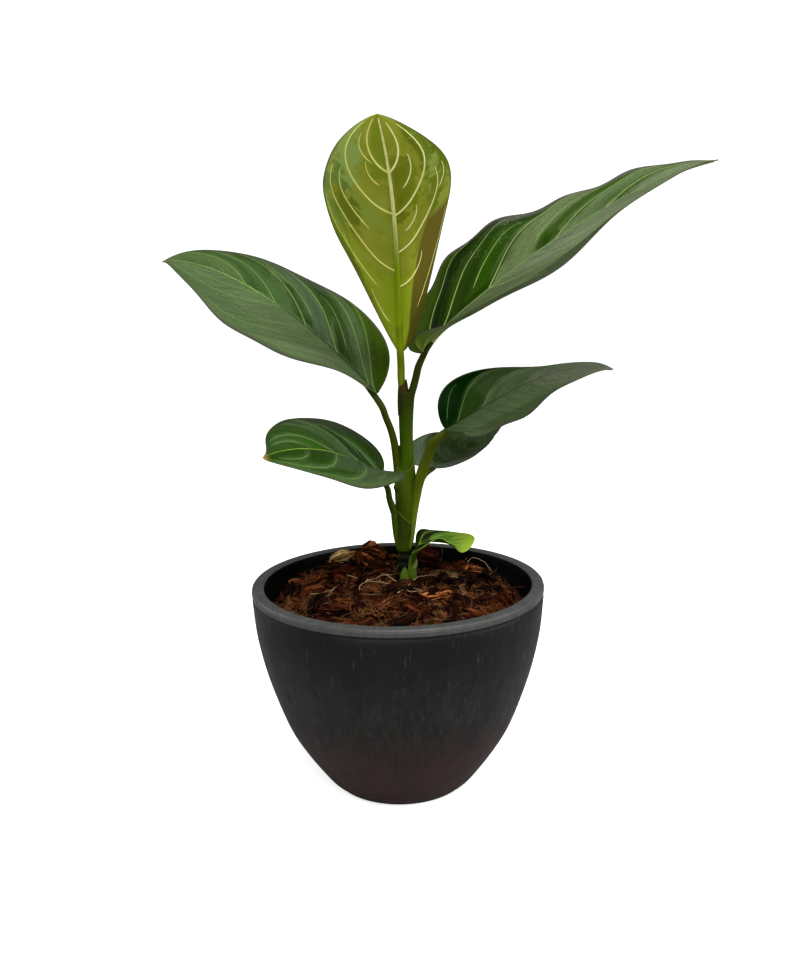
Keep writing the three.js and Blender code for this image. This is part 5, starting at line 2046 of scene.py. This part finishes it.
@dataclass(frozen=True)
class SideShoot:
    """The young shoot in front of the stem, with its bract and a papery scale."""

    strand: Strand = Strand(
        (
            (3.8, 4.6, 58, 0.9), (3.9, 4.3, 64, 1.1), (4.2, 4.2, 70, 1.25), (4.8, 3.9, 75, 1.2),
            (5.1, 3.2, 78, 1.1), (5.4, 2.4, 79.6, 1),
        ),
        18, 46,
    )
    bract: tuple[Oval, ...] = (
        Oval(3.7, 4, 65.5, 1.4, 1.3), Oval(3.6, 3.7, 68, 2.5, 1.7), Oval(3.1, 3.6, 70.6, 2.5, 1.6),
        Oval(2.7, 3.5, 72.6, 1.9, 1.3), Oval(2.5, 3.6, 74.4, 1, 0.9), Oval(2.5, 3.7, 75.4, 0.3, 0.3),
    )
    right_bract: tuple[Oval, ...] = (
        Oval(4.4, 4, 66, 1.3, 1.3), Oval(4.9, 3.7, 69, 1.8, 1.6), Oval(5, 3.5, 72, 1.75, 1.55),
        Oval(5.1, 3.4, 74, 1.45, 1.35), Oval(5.3, 3.4, 75.4, 1.1, 1.1),
    )
    scale: Strand = Strand(
        ((5.4, 3.3, 74.6, 0.7), (6.1, 3.1, 76.6, 0.8), (6.3, 3, 78.4, 0.45), (6.2, 3, 79.6, 0.15)), 10, 16
    )

    def build(self, green: Material, leafy: Material, membrane: Material) -> None:
        """Makes the shoot's pieces.

        Args:
            green: the strand's material.
            leafy: the bract's material.
            membrane: the scale's material.
        """
        draft = MeshDraft()
        draft.add_tube(self.strand.rings(), 0)
        draft.add_tube(oval_rings(self.bract, 28, 28), 1)
        draft.add_tube(oval_rings(self.right_bract, 24, 24), 1, offset=3.0)
        draft.add_tube(self.scale.rings(), 2)
        piece = draft.build("side_shoot_strand", [green, leafy, membrane], 60)
        hand_over(piece, ["side_shoot"])


# ---------------------------------------------------------------- growing medium
@dataclass(frozen=True)
class Chunk:
    """A large loose chunk of husk, as its solid has it."""

    node: str
    slot: Slot
    place: Point
    size: Triple
    turn: Triple
    # How lit the chunk is painted: near 1 painted light, near 0 painted shade.
    tone: float
    seed: int


CHUNKS = (
    Chunk("husk_chunk_peak", Slot.HUSK_ORANGE, (-9.5, 19.5, 75.6), (10, 7, 9.5), (0.3, 0.5, 0.4), 0.8, 1),
    Chunk("husk_chunk_pale", Slot.HUSK_PALE, (-20, 24.5, 72.5), (9.5, 6, 6), (0.1, -0.2, 0.2), 0.9, 2),
    Chunk("husk_chunk_left", Slot.HUSK_ORANGE, (-27, 8, 69), (11, 7, 5.5), (-0.2, 0.2, 0.9), 0.9, 3),
    Chunk("husk_chunk_right", Slot.HUSK_DARK, (12, 21, 73), (8, 7, 8), (0.5, 0.2, -0.3), 0.4, 4),
    Chunk("husk_chunk_far_right", Slot.HUSK_ORANGE, (27, 15, 69), (10, 7, 6), (0.2, 0.3, 0.5), 0.8, 5),
    Chunk("husk_chunk_front", Slot.HUSK_ORANGE, (12, -14, 69.5), (12, 7, 5), (0.2, -0.15, 0.2), 0.9, 6),
    Chunk(
        "husk_chunk_front_left", Slot.HUSK_ORANGE, (-16, -17, 68.5), (11, 6.5, 5), (-0.2, 0.1, -0.5), 0.7, 7,
    ),
    Chunk("husk_chunk_near_right", Slot.HUSK_DARK, (30, -12, 67.5), (9, 7, 5), (0.1, 0.2, 1.1), 0.3, 8),
)


@dataclass(frozen=True)
class ChipGrade:
    """A grade of chips: how many, how large, how finely modelled, and their loose fibres."""

    count: int
    length: tuple[float, float]
    width: tuple[float, float]
    height: tuple[float, float]
    rings: int
    sides: int
    tufts: int


CHIP_GRADES = (
    ChipGrade(70, (9, 15), (4.5, 8), (3.2, 5.5), 14, 44, 22),
    ChipGrade(190, (4.5, 9), (2.4, 4.6), (1.8, 3.4), 10, 26, 9),
    ChipGrade(300, (2, 4.5), (1, 2), (0.8, 1.6), 6, 9, 0),
)
GOLDEN_ANGLE = 2.39996
HUSK_REACH = 44.3


def torn_chip(
    size: Triple, draw: np.random.Generator, rings: int, sides: int, boxy: float = 3.0
) -> np.ndarray:
    """Makes a torn chip of husk about the origin: a ridged bundle of fibres along X with ragged ends.

    Args:
        size: its length, width and height.
        draw: the source of its chance details.
        rings: how many rings it has along its length.
        sides: how many points each ring has.
        boxy: 2 for a round section, more for a squarer one.

    Returns:
        Rings of points.
    """
    length, width, height = size
    s = np.linspace(0, 1, rings)[:, None]
    angles = full_turn(sides)[None, :]
    off_middle = np.abs(2 * s - 1)
    ends = np.maximum(np.clip(1 - off_middle**6, 0, 1) ** 0.35, 0.35)
    ridge = (draw.random(sides) - 0.5)[None, :]
    ridges = 1 + 0.34 * ridge * (1 + 0.3 * np.sin(5 * s + 6 * draw.random(sides)[None, :]))
    lumps = 1 + 0.12 * np.sin(angles * draw.integers(2, 4) + 6 * draw.random() + s)
    patchy = 1 + 0.1 * (draw.random((rings, sides)) - 0.5)
    swell = 1 + 0.14 * np.sin(s * (3 + 4 * draw.random()) + 6 * draw.random())
    power = 2 / boxy
    y = np.sign(np.cos(angles)) * np.abs(np.cos(angles)) ** power * width / 2
    z = np.sign(np.sin(angles)) * np.abs(np.sin(angles)) ** power * height / 2
    scale = ends * ridges * lumps * patchy * swell
    bend = (draw.random(2) - 0.5) * 0.5
    slant = (draw.random(2) - 0.5) * 0.8
    cut = np.sign(s - 0.5) * off_middle**3 * 0.26 * length * (draw.random((1, sides)) - 0.6)
    lean = off_middle**2 * (slant[0] * y + slant[1] * z)
    x = (s - 0.5) * length + cut + lean
    middle_y = bend[0] * (s - 0.5) ** 2 * length
    middle_z = bend[1] * (s - 0.5) ** 2 * length
    return np.stack(np.broadcast_arrays(x, y * scale + middle_y, z * scale + middle_z), axis=2)


def add_tufts(
    draft: MeshDraft, chip: np.ndarray, draw: np.random.Generator, count: int, reach: float
) -> None:
    """Lets loose fibres stick out of a chip's torn ends.

    Args:
        draft: the draft that takes the fibres.
        chip: the chip's rings of points, where it lies.
        draw: the source of their chance details.
        count: how many fibres.
        reach: how far a long one sticks out.
    """
    s = np.linspace(0, 1, 5)[:, None]
    for _ in range(count):
        end, inner = (0, 2) if draw.random() < 0.5 else (-1, -3)
        side = int(draw.integers(chip.shape[1]))
        middle = chip[inner].mean(axis=0)
        start = middle + (chip[inner, side] - middle) * draw.uniform(0.5, 1.0)
        heading = unit(chip[end].mean(axis=0) - middle) + unit(draw.normal(size=3)) * 0.45
        droop = np.array([0.0, 0.0, -0.35]) + unit(draw.normal(size=3)) * 0.4
        length = reach * draw.uniform(0.4, 1.0)
        route = start + unit(heading) * length * s + droop * length * s**2
        radii = draw.uniform(0.05, 0.1) * (1 - 0.6 * s[:, 0])
        draft.add_tube(keep_in_pot(tube_rings(route, radii, 3)), 0)


def keep_in_pot(points: np.ndarray) -> np.ndarray:
    """Draws points that would reach the pot's inner wall back from it."""
    out = np.hypot(points[..., 0], points[..., 1])
    held = points.copy()
    held[..., :2] *= np.minimum(1, HUSK_REACH / np.maximum(out, 1e-6))[..., None]
    return held


@dataclass(frozen=True)
class HuskBed:
    """The domed bed of husk: its body, the chips that cover it, loose fibres and roots."""

    pot: Pot
    edge_height: float = 64.5
    crown_rise: float = 5.0
    back_dip: float = 3.5
    reach: float = 45.9
    plants: tuple[Triple, ...] = ((2, 8, 2.6), (3.4, 3.8, 2))
    chip_reach: float = 43.5
    fibre_reach: float = 43.0
    fluff_reach: float = 41.0
    fibre_count: int = 5200
    fluff_count: int = 165
    seed: int = 41

    def level(self, x: float, y: float) -> float:
        """Gives the height of the bed, without its chips."""
        out = min(1.0, math.hypot(x, y) / self.reach)
        crown = self.edge_height + self.crown_rise * (1 - out**2)
        mound = 2.5 * math.exp(-((x + 10) ** 2 + (y - 20) ** 2) / 260)
        dip = self.back_dip * ease_step(y, -16.0, 8.0) * ease_step(out, 0.76, 0.97)
        return crown + mound - dip

    def build_body(self, material: Material) -> None:
        """Makes the closed body under the chips."""
        sides, inner_rings = 150, 46
        angles = full_turn(sides)
        circle = np.stack([np.cos(angles), np.sin(angles)], axis=1)
        gap = 0.5
        rings = []
        for height in (3.2, 5, 12, 22, 34, 48, 58):
            radius = self.pot.inner_radius(max(height, 5)) - gap - (2.6 if height < 5 else 0)
            rings.append(np.column_stack([circle * radius, np.full(sides, height)]))
        edge = self.pot.inner_radius(self.edge_height - 2) - gap - 0.3
        for share in np.linspace(0, 0.985, inner_rings):
            ring = circle * edge * (1 - share)
            heights = [self._rough(x, y) for x, y in ring]
            rings.append(np.column_stack([ring, heights]))
        draft = MeshDraft()
        # A low light share: the body shows in painted shade between the chips.
        draft.add_tube(np.array(rings), 0, tone=0.15)
        hand_over(draft.build("husk_bed_body", [material]), ["husk_bed"])

    def _rough(self, x: float, y: float) -> float:
        """Gives the height of the body under the chips."""
        coarse = noise.noise(Vector((x, y, 3.0)) * 0.16)
        fine = noise.noise(Vector((x, y, 9.0)) * 0.6)
        return self.level(x, y) - 1.8 + 1.6 * coarse + 0.7 * fine

    def _near_stem(self, x: float, y: float, room: float) -> bool:
        """Says whether a place is nearer than room to the stem or the side shoot."""
        return any(math.hypot(x - at_x, y - at_y) < radius + room for at_x, at_y, radius in self.plants)

    def build_chips(self, materials: Sequence[Material]) -> None:
        """Covers the bed with chips, from large ones down to crumbs.

        Args:
            materials: dark, orange, red and pale husk.
        """
        draw = np.random.default_rng(self.seed)
        drafts = [MeshDraft() for _ in materials]
        for grade in CHIP_GRADES:
            for index in range(grade.count):
                spans = (grade.length, grade.width, grade.height)
                size = tuple(float(draw.uniform(*span)) for span in spans)
                limit = self.chip_reach - 0.42 * size[0]
                radius = limit * math.sqrt((index + 0.5) / grade.count)
                angle = index * GOLDEN_ANGLE + draw.uniform(-0.4, 0.4)
                x, y = radius * math.cos(angle), radius * math.sin(angle)
                if self._near_stem(x, y, 0.42 * size[0]):
                    continue
                tilt = 0.8 * (1 - 0.3 * radius / limit)
                turn = (
                    draw.uniform(-1.2, 1.2), draw.uniform(-tilt, tilt) * 0.6, draw.uniform(0, 2 * math.pi),
                )
                rise = draw.uniform(-1.2, 1.1)
                height = self.level(x, y) - 0.7 + rise + 0.1 * size[2]
                # Painted light and shade: chips that lie higher, and chips towards the back left, are painted
                # lit; lower ones in shade.
                back_left_light = 0.4 * (-x / 44) * float(ease_step(y, -5.0, 20.0))
                tone = min(1.0, max(0.0, 0.5 + 0.45 * rise + back_left_light + draw.uniform(-0.3, 0.3)))
                chip = torn_chip(size, draw, grade.rings, grade.sides)
                points = keep_in_pot(chip @ turn_matrix(turn).T + np.array([x, y, height]))
                draft = drafts[int(draw.choice(4, p=(0.32, 0.34, 0.32, 0.02)))]
                draft.add_tube(points, 0, tone=tone, offset=float(draw.uniform(0, 40)))
                add_tufts(draft, points, draw, grade.tufts, 0.28 * size[0])
        names = ("dark", "orange", "red", "tan")
        slots = (Slot.HUSK_DARK, Slot.HUSK_ORANGE, Slot.HUSK_ORANGE, Slot.HUSK_PALE)
        for name, slot, draft, material in zip(names, slots, drafts, materials):
            hand_over(draft.build(f"husk_chips_{name}", [material], 32))

    def build_fibres(self, materials: Sequence[Material]) -> None:
        """Strews short curled fibres over the chips.

        Args:
            materials: orange, tan and dark fibres.
        """
        draw = np.random.default_rng(self.seed + 1)
        draft = MeshDraft()
        for _ in range(self.fibre_count):
            radius = self.fibre_reach * math.sqrt(draw.random())
            angle = draw.uniform(0, 2 * math.pi)
            x, y = radius * math.cos(angle), radius * math.sin(angle)
            if self._near_stem(x, y, 1.4):
                continue
            length = float(draw.choice((1.6, 3.0, 7.0), p=(0.46, 0.42, 0.12))) * draw.uniform(0.7, 1.3)
            heading = draw.uniform(0, 2 * math.pi)
            lift = draw.uniform(-0.2, 0.55)
            start = np.array([x, y, self.level(x, y) + draw.uniform(-0.8, 1.7)])
            along = np.array([math.cos(heading), math.sin(heading), lift])
            side = np.array([-math.sin(heading), math.cos(heading), 0.0]) * draw.uniform(-0.9, 0.9)
            s = np.linspace(0, 1, 6)[:, None]
            route = start + along * length * s + (side - np.array([0, 0, 0.35 * lift + 0.15])) * length * s**2
            radii = draw.uniform(0.045, 0.1) * (1 - 0.6 * s[:, 0])
            finish = int(draw.choice(3, p=(0.44, 0.12, 0.44)))
            rings = keep_in_pot(tube_rings(route, radii, 3))
            draft.add_tube(rings, finish, offset=float(draw.uniform(0, 20)))
        hand_over(draft.build("husk_fibres", materials))

    def build_fluff(self, materials: Sequence[Material]) -> None:
        """Lays small clumps of curled fibres on the chips.

        Args:
            materials: orange, tan and dark fibres.
        """
        draw = np.random.default_rng(self.seed + 2)
        draft = MeshDraft()
        for index in range(self.fluff_count):
            radius = self.fluff_reach * math.sqrt((index + 0.5) / self.fluff_count)
            angle = index * GOLDEN_ANGLE + draw.uniform(-0.5, 0.5)
            x, y = radius * math.cos(angle), radius * math.sin(angle)
            if self._near_stem(x, y, 2.2):
                continue
            heart = np.array([x, y, self.level(x, y) + draw.uniform(0.2, 1.6)])
            spread = draw.uniform(1.2, 2.6)
            grain = unit(np.array([*draw.normal(size=2), 0.2]))
            for _ in range(int(draw.integers(18, 34))):
                s = np.linspace(0, 1, 8)[:, None]
                start = heart + draw.normal(size=3) * np.array([spread, spread, 0.5]) * 0.6
                heading = unit(grain + draw.normal(size=3) * np.array([0.6, 0.6, 0.3]))
                sway = unit(np.cross(heading, draw.normal(size=3)))
                curl = np.sin(s * draw.uniform(2.0, 6.0) + draw.uniform(0, 6.3)) * draw.uniform(0.3, 0.9)
                route = start + heading * s * draw.uniform(1.6, 4.4) + sway * curl
                radii = draw.uniform(0.04, 0.075) * (1 - 0.5 * s[:, 0])
                finish = int(draw.choice(3, p=(0.6, 0.22, 0.18)))
                rings = keep_in_pot(tube_rings(route, radii, 3))
                draft.add_tube(rings, finish, offset=float(draw.uniform(0, 20)))
        hand_over(draft.build("husk_fluff", materials))

    def build_chunks(self, materials: dict[Slot, Material]) -> None:
        """Makes the large chunks in the place of their solids.

        Args:
            materials: the husk's materials by slot.
        """
        for chunk in CHUNKS:
            draw = np.random.default_rng(chunk.seed)
            size = (chunk.size[0] * 0.96, chunk.size[1] * 0.92, chunk.size[2] * 0.9)
            rings = torn_chip(size, draw, 30, 44, boxy=3.4)
            points = rings @ turn_matrix(chunk.turn).T + np.array(chunk.place)
            draft = MeshDraft()
            draft.add_tube(points, 0, tone=chunk.tone, offset=5.0 * chunk.seed)
            add_tufts(draft, points, draw, 26, 2.6)
            piece = draft.build(f"{chunk.node}_torn", [materials[chunk.slot]], 32)
            hand_over(piece, [chunk.node])


@dataclass(frozen=True)
class Root:
    """A thin root or stray fibre that lies on the husk."""

    route: tuple[Point, ...]
    radius: float
    pale: bool = True


ROOTS = (
    Root(
        ((-18, 6, 71.2), (-14, 1, 71.8), (-10.6, -2.4, 71.6), (-6, -3, 71.4), (-1, -6, 71), (3, -10, 70.5)),
        0.16,
    ),
    Root(((-10.6, -2.4, 71.6), (-9.5, 1, 72.4), (-8, 4, 72)), 0.13),
    Root(((-10.6, -2.4, 71.6), (-13, -6, 71), (-12, -11, 70.3), (-7, -13, 70)), 0.14),
    Root(((-10.6, -2.4, 71.6), (-5, 0.5, 72.6), (-2, 2.5, 72.2)), 0.12),
    Root(((-6, 3, 72.6), (-3.5, -0.5, 72.8), (0, -4.5, 71.6), (6, -9, 70.8), (9, -13, 70.2)), 0.15),
    Root(((0, -12, 70.2), (3, -8.5, 71), (5, -3, 71.6), (8, 1, 71.9), (14, 3, 71.6), (21, 3, 70.6)), 0.15),
    Root(((3, -10.5, 70.6), (4.5, -13, 70.8), (7, -14.5, 71.6), (7.5, -17, 70.2)), 0.12),
    Root(((26, 27, 69), (28, 26, 71), (31, 23, 70.6), (34, 19, 68)), 0.16),
    Root(((24, 23, 68), (25, 24, 70.6), (25.2, 24.5, 71.5)), 0.1),
    Root(((-30, -6, 68.5), (-27, -9, 69.5), (-23, -8, 70.2), (-20, -3, 70.8)), 0.13),
    Root(((-28, -14, 68), (-24, -12, 69.4), (-22, -7, 70), (-20.5, -1, 70.2)), 0.12),
    Root(((20, -16, 68.6), (22, -11, 69.6), (21, -6, 70), (23, -2, 69.8)), 0.11),
    Root(((-8.3, 30, 72), (-7, 30, 75), (-4, 30, 77), (-0.8, 30, 77)), 0.17, False),
    Root(((16, 27, 70), (16.6, 27.5, 74), (17.4, 27, 76.4)), 0.09, False),
)


class RootTangle:
    """The thin roots and stray fibres on top of the husk."""

    lift = 1.0
    wobble = 0.35
    seed = 3

    def build(self, pale: Material, dark: Material) -> None:
        """Makes every root.

        Args:
            pale: the material of the pale ones.
            dark: the material of the dark ones.
        """
        noise.seed_set(self.seed)
        draft = MeshDraft()
        for number, root in enumerate(ROOTS):
            route = smooth_route(root.route, 30)
            drift = np.array([noise.noise_vector(Vector(p) * 0.5 + Vector((number, 0, 0))) for p in route])
            route = route + drift * self.wobble + np.array([0.0, 0.0, self.lift])
            taper = 1 - 0.55 * np.linspace(0, 1, 30)
            rings = tube_rings(route, 0.82 * root.radius * taper, 7)
            draft.add_tube(rings, 0 if root.pale else 1, offset=number * 3.0)
        hand_over(draft.build("root_tangle", [pale, dark]))


# ---------------------------------------------------------------- the whole plant
def build_pot_and_husk(effects: Effects) -> None:
    """Makes the pot, the husk in it and the roots on the husk."""
    plastics = (
        PlasticFinish(
            # The wall keeps 0.15 of its colour at the top: painted shade under the lip.
            "pot_wall_plastic", (9, 10, 9), (30, 30, 28), (44, 15, 11), (60, 60, 57), 0.5, 0.2, 0.15,
        ),
        PlasticFinish("pot_rim_plastic", (47, 48, 46), (61, 62, 60), (60, 60, 56), (86, 86, 83), 0.45, 0.3),
        PlasticFinish("pot_inside_plastic", (7, 7, 6), (11, 11, 10), (7, 6, 5), (26, 25, 23), 0.6, 0.04),
    )
    wall, rim, inside = (plastic.build(effects) for plastic in plastics)
    pot = Pot()
    pot.build(wall, rim, inside)
    husks = (
        HuskFinish("husk_dark", (4, 1, 0), (25, 8, 3), (64, 34, 19), 1.0, 0.6),
        HuskFinish("husk_orange", (14, 4, 1), (78, 32, 11), (144, 90, 50), 1.0, 0.6),
        HuskFinish("husk_red", (10, 2, 1), (58, 19, 7), (108, 58, 32), 1.0, 0.6),
        HuskFinish("husk_tan", (40, 24, 10), (98, 70, 38), (154, 122, 80), 1.1, 0.5),
        # A lighter copy of the orange husk for the chunks: painted light against the leaves' shadow on them.
        HuskFinish("husk_orange_lit", (24, 8, 2), (100, 46, 18), (168, 110, 60), 1.0, 0.6),
        HuskFinish("husk_pale_chunk", (84, 56, 28), (160, 126, 76), (216, 186, 132), 1.1, 0.5),
    )
    dark, orange, red, tan, bright, pale = (husk.build(effects) for husk in husks)
    bed = HuskBed(pot)
    bed.build_body(dark)
    bed.build_chips((dark, orange, red, tan))
    bed.build_chunks({Slot.HUSK_DARK: red, Slot.HUSK_ORANGE: bright, Slot.HUSK_PALE: pale})
    strands = (
        StrandFinish("fibre_orange", (86, 40, 14), (138, 82, 42), 0.8),
        StrandFinish("fibre_tan", (104, 70, 38), (150, 114, 74), 0.8),
        StrandFinish("fibre_dark", (26, 12, 6), (52, 30, 18), 0.8),
        StrandFinish("root_pale", (128, 100, 72), (184, 158, 124), 0.6),
        StrandFinish("root_dark", (52, 50, 48), (84, 80, 76), 0.55),
    )
    *fibres, pale_root, dark_root = (strand.build(effects) for strand in strands)
    bed.build_fibres(fibres)
    bed.build_fluff(fibres)
    RootTangle().build(pale_root, dark_root)


def build_plant(effects: Effects) -> None:
    """Makes the stem, the side shoot and the leaves."""
    finishes = {
        "stalk": StalkFinish("stem_stalk_green", (54, 79, 0), (33, 42, 0), (28, 40, 0), 116, 138, 9.0),
        "stump": StalkFinish("stem_stump_dark", (9, 10, 4), (20, 25, 5), (5, 6, 3), 72, 81, 9.0),
        "low": StalkFinish("stem_low_green", (58, 72, 6), (38, 52, 2), (28, 40, 0), 80, 88, 9.0),
        "middle": StalkFinish("stem_middle_green", (50, 67, 0), (57, 75, 2), (42, 56, 0), 92, 110, 9.0),
        "top": StalkFinish("stem_top_green", (34, 42, 2), (60, 44, 16), (28, 28, 2), 132, 140, 9.0),
        "strand": StalkFinish("stem_strand_green", (60, 76, 8), (52, 66, 4), (34, 48, 2), 82, 94, 6.0),
        "bright_strand": StalkFinish(
            "stem_bright_green", (86, 104, 24), (84, 100, 14), (58, 72, 6), 82, 98, 6.0,
        ),
        "membrane": StrandFinish("sheath_membrane", (64, 76, 18), (84, 92, 36), 0.5),
        "brown": StrandFinish("sheath_brown_edge", (60, 44, 22), (86, 72, 44), 0.5),
    }
    Stem().build({name: finish.build(effects) for name, finish in finishes.items()})
    green = StalkFinish("shoot_green", (74, 96, 18), (84, 106, 26), (48, 66, 8), 66, 78, 6.0).build(effects)
    leafy = StalkFinish("bract_green", (58, 82, 14), (66, 90, 18), (36, 54, 6), 66, 74, 10.0).build(effects)
    scale = StrandFinish("scale_membrane", (100, 110, 46), (132, 138, 80), 0.5).build(effects)
    SideShoot().build(green, leafy, scale)
    looks = leaf_looks(effects)
    for form in LEAF_FORMS:
        Leaf(form, looks[form.node]).build()


def main() -> None:
    """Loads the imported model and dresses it."""
    logging.basicConfig(level=logging.INFO, format="%(name)s: %(message)s")
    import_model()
    effects = Effects()
    studio = Studio()
    studio.build_camera()
    studio.build_sweep(FloorFinish((240, 240, 239), (150, 150, 150), 0.6).build(effects))
    studio.build_light()
    build_pot_and_husk(effects)
    build_plant(effects)
    bpy.context.view_layer.update()


if __name__ == "__main__":
    main()
